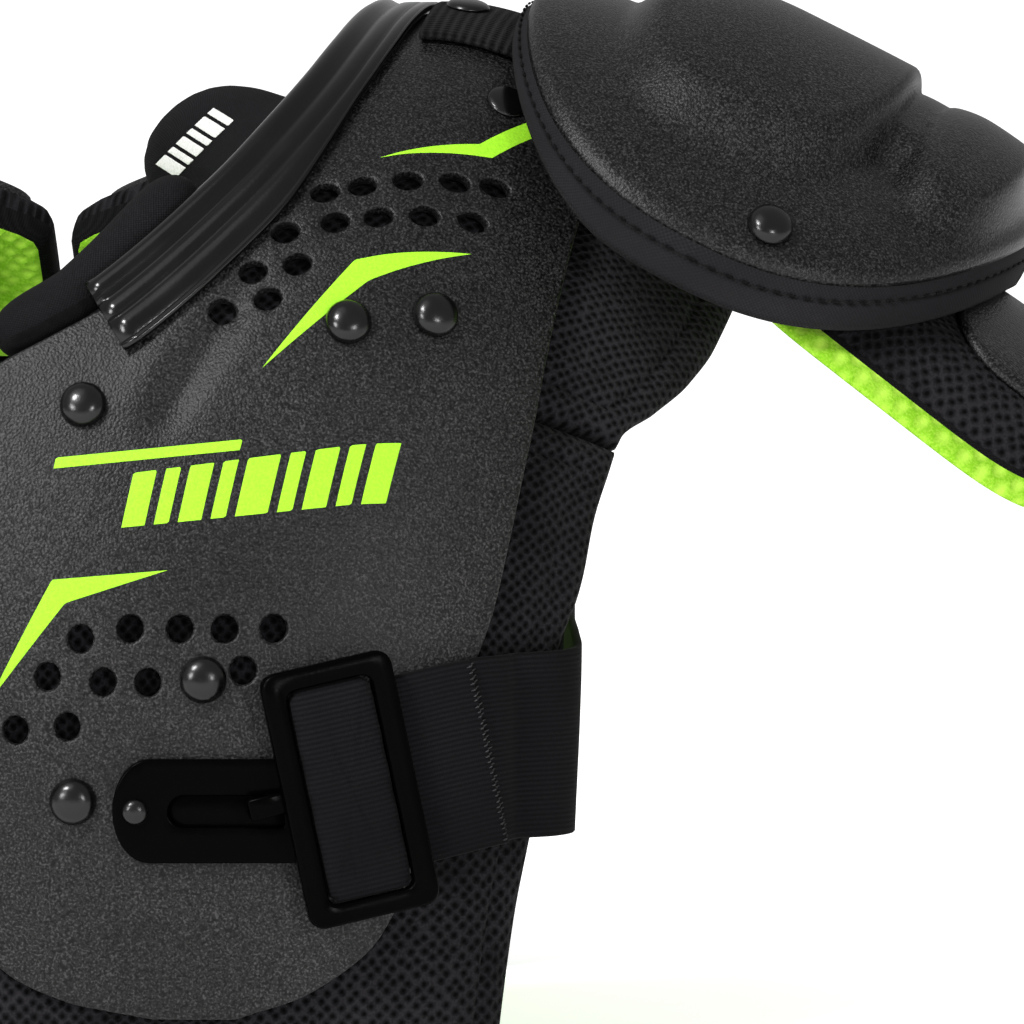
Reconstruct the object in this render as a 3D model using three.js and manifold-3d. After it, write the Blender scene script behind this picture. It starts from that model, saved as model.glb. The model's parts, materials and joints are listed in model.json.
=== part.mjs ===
// Youth football shoulder pad: two moulded arches with foam bodies, epaulets, sleeve pads and side straps.
// Millimetres, +Z up, the front faces -Y and the wearer's left is +X. Z = 0 is the flat foot of the bodies.

import * as THREE from 'three';
import { mergeVertices } from 'three/addons/utils/BufferGeometryUtils.js';
import Module from 'manifold-3d';

const wasm = await Module();
wasm.setup();

// The body form that every arch layer follows
const HALF_WIDTH = 138;       // half width of the chest's plan section
const HALF_DEPTH = 100;       // half depth of that section
const SECTION_POWER = 3;      // squareness of the plan section
const ROUND_TO = 112;         // ribs past this one leave the section on its tangent
const CREST_HEIGHT = 208;     // top of the shoulder
const ARCH_RISE = 148;        // height of the arch over its straight legs
const SHOULDER_DROP = 24;     // fall of the crest towards the arm
const DROP_FROM = 84;
const DROP_SPAN = 44;
const DROP_POWER = 1.7;
const FLARE = 0.14;           // how much the arch widens towards its crest
const LEG_RATE = ARCH_RISE * Math.PI / 180;    // leg length for each degree past 90
const FOOT_TURN = 90 + (CREST_HEIGHT - ARCH_RISE) / LEG_RATE;

// Layers
const PLATE_WALL = 3;
const FOAM_WALL = 14;
const LAYER_GAP = 0.8;        // between layers whose facets differ
const SEAT_GAP = 0.3;         // under a piece that sits flat
const PART_GAP = 0.6;         // between two cushions, end to end
const FOAM_TOP = -1.3;        // outer face of the foams, under the plate

// Holes and rivets of an arch
const HOLE_DIAMETER = 5.6;
const HOLE_SIDES = 6;
const RIVET_DIAMETER = 9.4;
const RIVET_DOME = 3.4;
const SMALL_RIVET_DIAMETER = 5.2;
const SMALL_RIVET_DOME = 1.8;
const WEBBING_DISC_DIAMETER = 8.6;
const WEBBING_DISC_DOME = 1.4;
const WASHER_DIAMETER = 9;
const WASHER_DOME = 1.6;

// Neck trim: a flat sewn band with a bead along the edge of the arch
const BAND_WIDTH = 7.6;
const BAND_WALL = 1.4;
const BEAD_RADIUS = 2.9;
const TRIM_FROM = -52;        // turns where the trim starts and ends
const TRIM_TO = 31;

// Collar: a slim roll at the front of the neck and a thick one behind
const COLLAR_RADIUS = 6.5;
const ROLL_RADIUS = 15.5;

// Epaulet
const EPAULET_CENTRE = [165, 0, CREST_HEIGHT - 19.4];
const EPAULET_SLOPE = 26.5;   // degrees down towards the arm
const EPAULET_HALF_LENGTH = 57;
const EPAULET_HALF_WIDTH = 67.7;
const EPAULET_SAG = 26;       // fall of the rim at its front and back
const EPAULET_POWER = 2.37;
const EPAULET_WALL = 2.5;
const CROWN = 7;              // rise of the shell's middle over its rim
const DOMES = [
  { u: -6, v: 0, halfU: 33, halfV: 59, power: 2.8, rise: 13 },
  { u: 39, v: 0, halfU: 16, halfV: 47, power: 2.3, rise: 11 },
  { u: 27, v: 0, halfU: 16, halfV: 34, power: 2.2, rise: 9 },    // saddle between the two
];
const DOME_SHOULDER = 10;     // width of a dome's sloping edge
const EPAULET_PAD_WALL = 8.4;
const EPAULET_PAD_INNER_WALL = 3.2;
const EPAULET_RIVET = { u: 12, v: 61.9 };

// Sleeve pad under the epaulet
const SLEEVE_ROOT = [160, 0, CREST_HEIGHT - 31.6];
const SLEEVE_SLOPE = 37.5;
const SLEEVE_LENGTH = 98;
const SLEEVE_HALF_WIDTH = 60;
const SLEEVE_ARCH = 17;
const SLEEVE_WALL = 9.5;
const SLEEVE_EDGE_WALL = 3;
const CAP_WALL = 2.2;
const CAP = { u: 69, halfU: 22, halfV: 42, power: 3 };

// Shoulder webbing
const WEBBING_HALF_WIDTH = 24;
const WEBBING_WALL = 1.8;
const WEBBING_FROM = 81.8;      // rib where the webbing starts at the neck
const WEBBING_TO = 121;

// Side strap, its buckle frame and the slotted hook plate
const STRAP_WIDTH = 38;
const STRAP_WALL = 1.8;
const STRAP_FOLD_WALL = 3.6;
const STRAP_LEAN = 12;        // degrees
const FRAME_RIB = 87.5;
const FRAME_WIDTH = 24.6;
const FRAME_HEIGHT = 50;
const FRAME_BAR = 4.6;
const FRAME_WALL = 3.4;
const FRAME_LIFT = 7.6;
const FRAME_Z = CREST_HEIGHT - ARCH_RISE - 1.2;
const HOOK_PLATE_Z = CREST_HEIGHT - ARCH_RISE - 5.7;
const HOOK_PLATE_HEIGHT = 20.6;
const HOOK_PLATE_FROM = 42;
const HOOK_PLATE_TO = 80;
const HOOK_PLATE_WALL = 2.4;
const SLOT_HEIGHT = 6.4;
const SLOT_FROM = 53;
const SLOT_TO = 76;

// Bridges that join the two arches at the breastbone and the spine
const BRIDGE_HALF_WIDTH = 15;
const BRIDGE_WALL = 3;
const SPAN_RIB = 11;          // rib of the bridge's rivets

const { cos, sin, abs, sign, max, min, pow, sqrt, PI } = Math;
const radians = THREE.MathUtils.degToRad;
const { clamp, lerp, smoothstep } = THREE.MathUtils;

const plastic = new THREE.MeshStandardMaterial({ color: '#363537', roughness: 0.5, metalness: 0 });
const gloss = new THREE.MeshStandardMaterial({ color: '#19191b', roughness: 0.22, metalness: 0 });
const foam = new THREE.MeshStandardMaterial({ color: '#1c1b1d', roughness: 0.95, metalness: 0 });
const cloth = new THREE.MeshStandardMaterial({ color: '#2c2b2e', roughness: 0.9, metalness: 0 });
const vinyl = new THREE.MeshStandardMaterial({ color: '#17171a', roughness: 0.35, metalness: 0 });
const webbing = new THREE.MeshStandardMaterial({ color: '#1e1e20', roughness: 0.85, metalness: 0 });
const elastic = new THREE.MeshStandardMaterial({ color: '#212023', roughness: 0.9, metalness: 0 });

/** Smooth curve through a list of [position, value] pairs that never overshoots them. */
function through(pairs) {
  const gaps = pairs.slice(1).map((pair, i) => pair[0] - pairs[i][0]);
  const slopes = pairs.slice(1).map((pair, i) => (pair[1] - pairs[i][1]) / gaps[i]);
  const tangents = pairs.map((pair, i) => {
    if (i === 0) return slopes[0];
    if (i === pairs.length - 1) return slopes[i - 1];
    if (slopes[i - 1] * slopes[i] <= 0) return 0;
    return 2 * slopes[i - 1] * slopes[i] / (slopes[i - 1] + slopes[i]);
  });
  return (position) => {
    const at = clamp(position, pairs[0][0], pairs[pairs.length - 1][0]);
    let i = 0;
    while (i < gaps.length - 1 && at > pairs[i + 1][0]) i += 1;
    const t = (at - pairs[i][0]) / gaps[i];
    const h00 = (1 + 2 * t) * (1 - t) * (1 - t);
    const h10 = t * (1 - t) * (1 - t);
    const h01 = t * t * (3 - 2 * t);
    const h11 = t * t * (t - 1);
    return h00 * pairs[i][1] + h10 * gaps[i] * tangents[i] + h01 * pairs[i + 1][1]
      + h11 * gaps[i] * tangents[i + 1];
  };
}

/** Plan position of a rib's foot: the chest section, then its tangent past ROUND_TO. */
function ribFoot(rib) {
  const reach = min(abs(rib), ROUND_TO);
  const depthAt = (x) => HALF_DEPTH * pow(1 - pow(x / HALF_WIDTH, SECTION_POWER), 1 / SECTION_POWER);
  const edge = depthAt(ROUND_TO) / HALF_DEPTH;
  const slope = -(HALF_DEPTH / HALF_WIDTH) * pow(ROUND_TO / HALF_WIDTH / edge, SECTION_POWER - 1);
  const run = max(abs(rib) - ROUND_TO, 0) / sqrt(1 + slope * slope);
  return { x: sign(rib) * (reach + run), depth: depthAt(reach) + slope * run };
}

/** Point of the body form on a rib at a turn in degrees: 0 is the crest, -90 the top of the front leg. */
function bodyPoint(rib, turn) {
  const { x, depth } = ribFoot(rib);
  const drop = SHOULDER_DROP * pow(max(abs(x) - DROP_FROM, 0) / DROP_SPAN, DROP_POWER);
  const arch = radians(clamp(turn, -90, 90));
  const leg = max(abs(turn) - 90, 0);
  return new THREE.Vector3(
    x * (1 + FLARE * cos(arch) ** 2),
    depth * sin(arch),
    CREST_HEIGHT - ARCH_RISE + (ARCH_RISE - drop) * cos(arch) - leg * LEG_RATE,
  );
}

/** Outward normal of the body form. */
function bodyNormal(rib, turn) {
  const step = 0.05;
  const across = bodyPoint(rib + step, turn).sub(bodyPoint(rib - step, turn));
  const along = bodyPoint(rib, turn + step).sub(bodyPoint(rib, turn - step));
  return across.cross(along).normalize();
}

/** Point at a height over the body form. */
const skin = (rib, turn, height) => bodyPoint(rib, turn).addScaledVector(bodyNormal(rib, turn), height);

/** Turn on a leg or low on the arch whose point has the given height z at the front of a rib. */
function turnAtHeight(z) {
  const leg = CREST_HEIGHT - ARCH_RISE - z;
  return leg > 0 ? -90 - leg / LEG_RATE : -THREE.MathUtils.radToDeg(Math.acos(-leg / ARCH_RISE));
}

/** Closed solid from triangles over shared points, turned so that its faces point out. */
function solidFrom(points, triangles) {
  let volume = 0;
  const cross = new THREE.Vector3();
  for (const [a, b, c] of triangles) volume += cross.crossVectors(points[b], points[c]).dot(points[a]);
  const ordered = volume < 0 ? triangles.map(([a, b, c]) => [a, c, b]) : triangles;
  const geometry = new THREE.BufferGeometry();
  geometry.setAttribute('position', new THREE.Float32BufferAttribute(points.flatMap((p) => p.toArray()), 3));
  geometry.setIndex(ordered.flat());
  return geometry;
}

/** Slab between two grids of the same size: grids[layer][row][column]. */
function slab(outer, inner) {
  const rows = outer.length;
  const columns = outer[0].length;
  const points = [...outer.flat(), ...inner.flat()];
  const at = (layer, row, column) => layer * rows * columns + row * columns + column;
  const triangles = [];
  const quad = (a, b, c, d) => triangles.push([a, b, c], [a, c, d]);
  for (let r = 0; r < rows - 1; r += 1) {
    for (let c = 0; c < columns - 1; c += 1) {
      quad(at(0, r, c), at(0, r + 1, c), at(0, r + 1, c + 1), at(0, r, c + 1));
      quad(at(1, r, c), at(1, r, c + 1), at(1, r + 1, c + 1), at(1, r + 1, c));
    }
    quad(at(0, r, 0), at(1, r, 0), at(1, r + 1, 0), at(0, r + 1, 0));
    const last = columns - 1;
    quad(at(0, r, last), at(0, r + 1, last), at(1, r + 1, last), at(1, r, last));
  }
  for (let c = 0; c < columns - 1; c += 1) {
    quad(at(0, 0, c), at(0, 0, c + 1), at(1, 0, c + 1), at(1, 0, c));
    const last = rows - 1;
    quad(at(0, last, c), at(1, last, c), at(1, last, c + 1), at(0, last, c + 1));
  }
  return solidFrom(points, triangles);
}

/** Tube through closed rings of points, its two ends closed with flat faces. */
function tube(rings, endFaces) {
  const count = rings[0].length;
  const triangles = [];
  rings.slice(1).forEach((_, r) => {
    for (let i = 0; i < count; i += 1) {
      const next = (i + 1) % count;
      const [a, b, c, d] = [r * count + i, r * count + next, (r + 1) * count + next, (r + 1) * count + i];
      triangles.push([a, b, c], [a, c, d]);
    }
  });
  const last = (rings.length - 1) * count;
  for (const [a, b, c] of endFaces) triangles.push([a, c, b], [last + a, last + b, last + c]);
  return solidFrom(rings.flat(), triangles);
}

/** Fan of triangles over a convex ring. */
const fan = (count) => Array.from({ length: count - 2 }, (_, i) => [0, i + 1, i + 2]);

/** Evenly spaced values, both ends included. */
const spread = (from, to, steps) => Array.from({ length: steps + 1 }, (_, i) => lerp(from, to, i / steps));

/** Copy of a geometry reflected in X, its faces still pointing out. */
function mirrored(geometry) {
  const copy = geometry.index ? geometry.clone() : mergeVertices(geometry.clone());
  copy.applyMatrix4(new THREE.Matrix4().makeScale(-1, 1, 1));
  const index = Array.from(copy.index.array);
  for (let i = 0; i < index.length; i += 3) [index[i + 1], index[i + 2]] = [index[i + 2], index[i + 1]];
  copy.setIndex(index);
  return copy;
}

/** Geometry reduced to merged positions, as a closed solid needs. */
function closed(geometry) {
  geometry.deleteAttribute('normal');
  geometry.deleteAttribute('uv');
  return mergeVertices(geometry, 1e-4);
}

/** Solid for a boolean step. */
function toSolid(geometry) {
  const mesh = closed(geometry.clone());
  return new wasm.Manifold(new wasm.Mesh({
    numProp: 3,
    vertProperties: new Float32Array(mesh.attributes.position.array),
    triVerts: new Uint32Array(mesh.index.array),
  }));
}

/** Geometry from a boolean result. */
function fromSolid(solid) {
  const mesh = solid.getMesh();
  const geometry = new THREE.BufferGeometry();
  geometry.setAttribute('position', new THREE.Float32BufferAttribute(Array.from(mesh.vertProperties), 3));
  geometry.setIndex(Array.from(mesh.triVerts));
  return geometry;
}

// Outlines of an arch in (turn, rib): the edge at the neck and breastbone, and the edge at the arm
const archInner = through([[-108.4, 50], [-107.1, 32.7], [-104.6, 19.8], [-98, 8], [-60, 8], [-57, 16], [-54, 27],
  [-51, 37], [-41.3, 54.3], [-36, 60.6], [-28, 67.1], [-22.8, 69.8], [-14.8, 72.2], [0, 74.1], [17, 71.5],
  [25, 65.5], [31.5, 52], [35.5, 36],
  [38.5, 22], [43, 8], [98, 8], [104.6, 19.8], [107.1, 32.7], [108.4, 50]]);
const archOuter = through([[-108.4, 66], [-106.5, 80], [-102.4, 93], [-96, 100], [-80, 110.5], [-74.5, 113.6],
  [-66, 116], [-57, 117.2], [-37, 117.3], [-20, 121], [0, 125], [20, 121], [37, 117.3], [57, 116.5], [66, 111.5],
  [74.5, 103], [80, 99.5], [96, 95.5], [102.4, 89], [106.5, 78], [108.4, 66]]);
const FOAM_LIP = 6;           // how far the foam stands out past the arch at the neck and the middle
const CENTRE_RIB = 2;
const foamInner = (turn) => max((abs(turn) > 60 ? CENTRE_RIB : archInner(turn) - FOAM_LIP), CENTRE_RIB);
const foamOuter = through([[-113.3, 118.8], [-109.6, 120], [-101, 123.5], [-96, 126.5], [-90, 130], [-82, 130.5],
  [-78, 131.8], [-74, 134], [-70.5, 135.5], [-65.7, 137], [-61, 138.7], [-56.2, 140], [-51.5, 145.7], [-45.3, 150.9],
  [-38, 153.5], [-30, 154], [0, 150], [30, 148], [41, 145], [47.6, 142], [53, 137], [57.6, 131.5], [66.5, 119.5],
  [75, 111], [85, 106.5], [97, 104.5], [104, 99], [113.3, 94]]);

/** Curved slab of the body form between two heights, over rows of turns. */
function archSlab(turns, inner, outer, columns, top, bottom) {
  const grid = (height) => turns.map((turn) => spread(inner(turn), outer(turn), columns)
    .map((rib) => skin(rib, turn, height)));
  return slab(grid(top), grid(bottom));
}

/** Ring of holes in (rib, turn): the upper field under the shoulder and the lower one on the chest. */
const HOLES = [
  ...[72.5, 79.1, 86.9, 94.9, 101.6].map((rib, i) => [rib, -39.8 + 0.8 * i]),
  ...[75.5, 83.1, 91.1, 99.3].map((rib, i) => [rib, -43.1 + 0.6 * i]),
  [66.7, -44.2], [62, -48.3], [57.4, -52], [70, -47.5], [65.6, -50.9],
  ...[35.5, 45.2, 54.9, 63.5, 72.8].map((rib, i) => [rib, -79.2 + (i > 0 ? 0.8 : 0)]),
  [29.2, -82.1], [40.2, -82.5], [49, -82.5], [67.3, -81.6],
  [23, -86.2], [33.3, -85.9],
];

/** Turn that lays +Z of a flat piece along a normal, with its +X across the body. */
function seat(rib, turn, lean = 0) {
  const normal = bodyNormal(rib, turn);
  const across = new THREE.Vector3(0, 0, 1).cross(normal).normalize();
  if (across.x < 0) across.negate();
  const up = normal.clone().cross(across).normalize();
  const basis = new THREE.Matrix4().makeBasis(across, up, normal);
  return new THREE.Quaternion().setFromRotationMatrix(basis)
    .multiply(new THREE.Quaternion().setFromAxisAngle(new THREE.Vector3(0, 0, 1), radians(lean)));
}

/** Arch plate with its two fields of holes. */
function archPlate() {
  const front = [-108.4, -107.1, -104.6, -101, -95, -85, -76, -68, -60, -57, -51, -46, -41, -35, -28, -21, -14, -7];
  const back = [0, 8, 16, 23, 29, 34, 38, 43, 52, 61, 71, 81, 93, 101, 104.6, 107.1, 108.4];
  let plate = toSolid(archSlab([...front, ...back], archInner, archOuter, 5, PLATE_WALL, 0));
  for (const [rib, turn] of HOLES) {
    const drill = new THREE.CylinderGeometry(HOLE_DIAMETER / 2, HOLE_DIAMETER / 2, 4 * PLATE_WALL, HOLE_SIDES);
    drill.rotateX(PI / 2);
    drill.applyQuaternion(seat(rib, turn));
    drill.translate(...skin(rib, turn, PLATE_WALL / 2).toArray());
    plate = plate.subtract(toSolid(drill));
  }
  return fromSolid(plate);
}

const CUT = 57.5;             // turn of the seams between the shoulder foam and the chest and back foams
const shoulderFoam = () => archSlab(spread(-CUT, CUT, 18), foamInner, foamOuter, 5, FOAM_TOP, FOAM_TOP - FOAM_WALL);
const SEAM = CUT + PART_GAP / LEG_RATE;
const chestFoam = () => archSlab(spread(-FOOT_TURN, -SEAM, 6), foamInner, foamOuter, 5, FOAM_TOP,
  FOAM_TOP - FOAM_WALL);
const backFoam = () => archSlab(spread(SEAM, FOOT_TURN, 6), foamInner, foamOuter, 5, FOAM_TOP,
  FOAM_TOP - FOAM_WALL);

/** Frame along the neck edge of an arch: how rib and turn change for 1 mm away from the neck. */
function neckFrame(turn) {
  const step = 0.5;
  const rib = archInner(turn);
  const along = skin(archInner(turn + step), turn + step, 0).sub(skin(archInner(turn - step), turn - step, 0));
  const away = along.normalize().cross(bodyNormal(rib, turn)).normalize();
  if (away.x < 0) away.negate();
  const perRib = bodyPoint(rib + step, turn).sub(bodyPoint(rib - step, turn)).divideScalar(2 * step);
  const perTurn = bodyPoint(rib, turn + step).sub(bodyPoint(rib, turn - step)).divideScalar(2 * step);
  const [a, b, c] = [perRib.dot(perRib), perRib.dot(perTurn), perTurn.dot(perTurn)];
  const [d, e] = [perRib.dot(away), perTurn.dot(away)];
  const det = a * c - b * b;
  return { rib, dRib: (c * d - b * e) / det, dTurn: (a * e - b * d) / det };
}

/** Point a distance away from the neck edge, measured on the body form. */
function fromNeck(turn, away, height) {
  const { rib, dRib, dTurn } = neckFrame(turn);
  return skin(rib + away * dRib, turn + away * dTurn, height);
}

/** Neck trim: its section stands over the plate with the bead beside the edge. */
function neckTrim() {
  const low = PLATE_WALL + LAYER_GAP + 0.3;
  const high = low + BAND_WALL;
  const bead = BEAD_RADIUS;
  const middle = -bead - SEAT_GAP;
  const section = [[BAND_WIDTH, low], [BAND_WIDTH, high]]
    .concat(spread(60, 300, 4).map((angle) => [middle + bead * cos(radians(angle)),
      high - 0.8 * bead + bead * sin(radians(angle))]))
    .concat([[-SEAT_GAP - 0.3, low]]);
  const outline = section.map(([away, height]) => new THREE.Vector2(away, height));
  const faces = THREE.ShapeUtils.triangulateShape(outline, []);
  const rings = spread(TRIM_FROM, TRIM_TO, 13)
    .map((turn) => section.map(([away, height]) => fromNeck(turn, away, height)));
  return tube(rings, faces);
}

/** Round bar along a curve with domed ends: radiusAt gives its radius over the length. */
function bar(points, radiusAt, steps, sides) {
  const curve = new THREE.CatmullRomCurve3(points, false, 'centripetal');
  const frames = curve.computeFrenetFrames(steps, false);
  const rings = spread(0, 1, steps).map((t, i) => {
    const centre = curve.getPointAt(t);
    return spread(0, 360 - 360 / sides, sides - 1).map((angle) => centre.clone()
      .addScaledVector(frames.normals[i], radiusAt(t) * cos(radians(angle)))
      .addScaledVector(frames.binormals[i], radiusAt(t) * sin(radians(angle))));
  });
  return tube(rings, fan(sides));
}

/** Slim collar roll along the front of the neck edge, inside the trim. */
function collarRoll() {
  const away = -(FOAM_LIP + COLLAR_RADIUS);
  const points = spread(-56, -40, 5).map((turn) => fromNeck(turn, away, -4));
  return bar(points, (t) => COLLAR_RADIUS * pow(1 - pow(abs(2 * t - 1), 8), 0.5) + 0.8, 7, 8);
}

/** Thick neck roll behind the neck. */
function neckRoll() {
  const points = [[33, 37, 34], [45, 25, 28], [59.4, 7, 31], [67.6, -9, 34.4]]
    .map(([x, y, below]) => new THREE.Vector3(x, y, CREST_HEIGHT - below));
  return bar(points, (t) => ROLL_RADIUS * pow(1 - pow(abs(2 * t - 1), 5), 0.5) + 0.8, 8, 9);
}

/** Domed head of a rivet standing on its flat face at z = 0. */
function rivetHead(diameter, dome, sides = 8) {
  const profile = [[0, 0], [diameter / 2, 0], [diameter * 0.36, dome * 0.7], [0, dome]].map(([radius, z]) => new THREE.Vector2(radius, z));
  const head = new THREE.LatheGeometry(profile, sides);
  head.rotateX(PI / 2);
  return closed(head);
}

/** Height of the epaulet's outer face over its frame, and how far out a place lies (1 at the rim). */
function epauletHeight(u, v) {
  const radius = pow(pow(abs(u / EPAULET_HALF_LENGTH), EPAULET_POWER)
    + pow(abs(v / EPAULET_HALF_WIDTH), EPAULET_POWER), 1 / EPAULET_POWER);
  let height = EPAULET_WALL - EPAULET_SAG * (v / EPAULET_HALF_WIDTH) ** 2 + CROWN * sqrt(max(1 - min(radius, 1) ** 3, 0));
  const bumps = DOMES.map((dome) => {
    const reach = max(pow(pow(abs((u - dome.u) / dome.halfU), dome.power)
      + pow(abs((v - dome.v) / dome.halfV), dome.power), 1 / dome.power), 0.01);
    const within = Math.hypot(u - dome.u, v - dome.v) * (1 - reach) / reach;
    return dome.rise * (reach > 0.01 ? smoothstep(within, 0, DOME_SHOULDER) : 1);
  });
  height += max(...bumps);
  return height;
}

/** Slab over the epaulet's outline between two heights, in rings from the middle to the rim. */
function epauletSlab(outerHeight, innerHeight, around, reaches) {
  const place = (share, angle, height) => {
    const [c, s] = [cos(angle), sin(angle)];
    const u = share * EPAULET_HALF_LENGTH * sign(c) * pow(abs(c), 2 / EPAULET_POWER);
    const v = share * EPAULET_HALF_WIDTH * sign(s) * pow(abs(s), 2 / EPAULET_POWER);
    return new THREE.Vector3(u, v, height(u, v));
  };
  const points = [];
  const triangles = [];
  for (const height of [outerHeight, innerHeight]) {
    points.push(place(0, 0, height));
    for (const share of reaches) {
      for (let i = 0; i < around; i += 1) points.push(place(share, 2 * PI * i / around, height));
    }
  }
  const layer = 1 + reaches.length * around;
  const at = (face, ring, i) => face * layer + 1 + ring * around + (i % around);
  for (let i = 0; i < around; i += 1) {
    triangles.push([0, at(0, 0, i), at(0, 0, i + 1)], [layer, at(1, 0, i + 1), at(1, 0, i)]);
    for (let r = 0; r < reaches.length - 1; r += 1) {
      triangles.push([at(0, r, i), at(0, r + 1, i), at(0, r + 1, i + 1)],
        [at(0, r, i), at(0, r + 1, i + 1), at(0, r, i + 1)],
        [at(1, r, i), at(1, r + 1, i + 1), at(1, r + 1, i)],
        [at(1, r, i), at(1, r, i + 1), at(1, r + 1, i + 1)]);
    }
    const last = reaches.length - 1;
    triangles.push([at(0, last, i), at(1, last, i), at(1, last, i + 1)],
      [at(0, last, i), at(1, last, i + 1), at(0, last, i + 1)]);
  }
  return solidFrom(points, triangles);
}

const EPAULET_RINGS = [0.3, 0.55, 0.75, 0.9, 1];
const epauletPadWall = (u) => lerp(EPAULET_PAD_INNER_WALL, EPAULET_PAD_WALL,
  smoothstep(u, -0.9 * EPAULET_HALF_LENGTH, -0.25 * EPAULET_HALF_LENGTH));
const epauletShell = () => epauletSlab(epauletHeight, (u, v) => epauletHeight(u, v) - EPAULET_WALL,
  24, EPAULET_RINGS);
const padTop = (u, v) => epauletHeight(u, v) - EPAULET_WALL - LAYER_GAP;
const epauletPad = () => epauletSlab(padTop, (u, v) => padTop(u, v) - epauletPadWall(u),
  24, EPAULET_RINGS);

/** Slab in the sleeve's own frame over a rounded outline of (u, v). */
function sleeveSlab(middle, halfLength, halfWidth, power, outerHeight, innerHeight, rows, columns) {
  const us = spread(-1, 1, rows).map((share) => sin(share * PI / 2));
  const grid = (height) => us.map((share) => {
    const width = halfWidth * max(pow(max(1 - pow(abs(share), power), 0), 1 / power), 0.3);
    return spread(-width, width, columns)
      .map((v) => new THREE.Vector3(middle + share * halfLength, v, height(middle + share * halfLength, v)));
  });
  return slab(grid(outerHeight), grid(innerHeight));
}

const sleeveUnder = (u, v) => -SLEEVE_ARCH * (v / SLEEVE_HALF_WIDTH) ** 2;
/** Wall of the sleeve pad: thin at its root and edges, full in the middle. */
function sleeveWall(u, v) {
  const side = clamp(1 - abs(v) / SLEEVE_HALF_WIDTH, 0, 1);
  const end = clamp(min(u, SLEEVE_LENGTH - u) / SLEEVE_LENGTH, 0, 1);
  return SLEEVE_EDGE_WALL + (SLEEVE_WALL - SLEEVE_EDGE_WALL) * min(smoothstep(side, 0, 0.35), smoothstep(end, 0, 0.11));
}
const sleeveTop = (u, v) => sleeveUnder(u, v) + sleeveWall(u, v);
const sleevePad = () => sleeveSlab(SLEEVE_LENGTH / 2, SLEEVE_LENGTH / 2, SLEEVE_HALF_WIDTH, 5, sleeveTop,
  sleeveUnder, 7, 8);
const capUnder = (u, v) => sleeveTop(u, v) + LAYER_GAP + SEAT_GAP;
const sleeveCap = () => sleeveSlab(CAP.u, CAP.halfU, CAP.halfV, CAP.power, (u, v) => capUnder(u, v) + CAP_WALL,
  capUnder, 5, 6);

/** Webbing over the crest of the shoulder, out to the root of the sleeve pad. */
function shoulderWebbing() {
  const low = PLATE_WALL + LAYER_GAP;
  const stations = spread(WEBBING_FROM, WEBBING_TO, 6).map((rib) => skin(rib, 0, low));
  const root = new THREE.Vector3(...SLEEVE_ROOT);
  stations.push(root.clone().add(new THREE.Vector3(-9, 0, 6)), root.clone().add(new THREE.Vector3(-1.2, 0, 1)));
  const turnOf = (y, x) => THREE.MathUtils.radToDeg(Math.asin(y / HALF_DEPTH)) * (1 + 0.002 * x);
  const grid = (lift) => stations.map((station, i) => spread(-WEBBING_HALF_WIDTH, WEBBING_HALF_WIDTH, 4).map((y) => {
    if (i <= 6) {
      const rib = lerp(WEBBING_FROM, WEBBING_TO, i / 6);
      return skin(rib, turnOf(y, rib), low + lift);
    }
    const fall = i === 7 ? 0.9 : 1;
    return new THREE.Vector3(station.x, y, station.z + lift - fall * SLEEVE_ARCH * (y / SLEEVE_HALF_WIDTH) ** 2);
  }));
  return slab(grid(WEBBING_WALL), grid(0));
}

/** Side strap: from the buckle frame round the edge of the foam, past the side, to the back of the arch. */
function sideStrap() {
  const over = (rib, from, to) => lerp(PLATE_WALL + LAYER_GAP, LAYER_GAP, smoothstep(rib, from, to));
  const front = [[78.3, 3.3], [80.4, 3.2], [82.4, 2.6], [84.5, 2.2], [88, 0.7], [91, 0], [94, -0.1], [98, 0], [103, 0],
    [108, 0], [114, 0], [119, 0], [124, 0], [128.5, 0]].map(([rib, rise]) => skin(rib, -90, over(rib, 112, 120) + rise));
  const edge = skin(foamOuter(-90), -90, 0);
  const side = [[2.4, 4], [2.2, 10], [-0.4, 26]].map(([x, y]) => new THREE.Vector3(edge.x + x, edge.y + y, 0));
  const backEdge = skin(foamOuter(90), 90, 0);
  const middle = new THREE.Vector3((edge.x + backEdge.x) / 2 + 3.4, 0, 0);
  const backSide = [[8, -42], [4.6, -16], [3.5, -5.5]].map(([x, y]) => new THREE.Vector3(backEdge.x + x, backEdge.y + y, 0));
  const back = [105.2, 102, 98, 94, 90, 86, 82].map((rib) => skin(rib, 90, over(rib, 99.4, 105)));
  const stations = [...front, ...side, middle, ...backSide, ...back].map((p) => new THREE.Vector3(p.x, p.y, 0));
  const curve = new THREE.CatmullRomCurve3(stations, false, 'centripetal');
  const length = curve.getLength();
  const rows = 32;
  const fold = 38;
  const slant = STRAP_WIDTH / 2 * Math.tan(radians(STRAP_LEAN));
  const grid = (outer) => spread(0, 1, rows).map((t) => {
    const run = lerp(slant, length - slant, t);
    const lean = radians(STRAP_LEAN) * (1 - smoothstep(run, 40, length / 2)) * (run < length / 2 ? 1 : 0)
      + radians(STRAP_LEAN) * smoothstep(run, length / 2, length) * (run >= length / 2 ? -1 : 0);
    const near = min(run, length - run);
    const rise = 6.5 * smoothstep(near, 0, 45) + 4 * smoothstep(near, 60, 95);
    return spread(-STRAP_WIDTH / 2, STRAP_WIDTH / 2, 2).map((v) => {
      const at = clamp((run - v * Math.tan(lean)) / length, 0, 1);
      const point = curve.getPointAt(at);
      const heading = curve.getTangentAt(at);
      const wall = outer ? lerp(STRAP_FOLD_WALL, STRAP_WALL, smoothstep(run, fold, fold + 2)) : 0;
      return new THREE.Vector3(point.x + heading.y * wall, point.y - heading.x * wall, FRAME_Z + rise + v * cos(lean));
    });
  });
  return slab(grid(true), grid(false));
}

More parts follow.
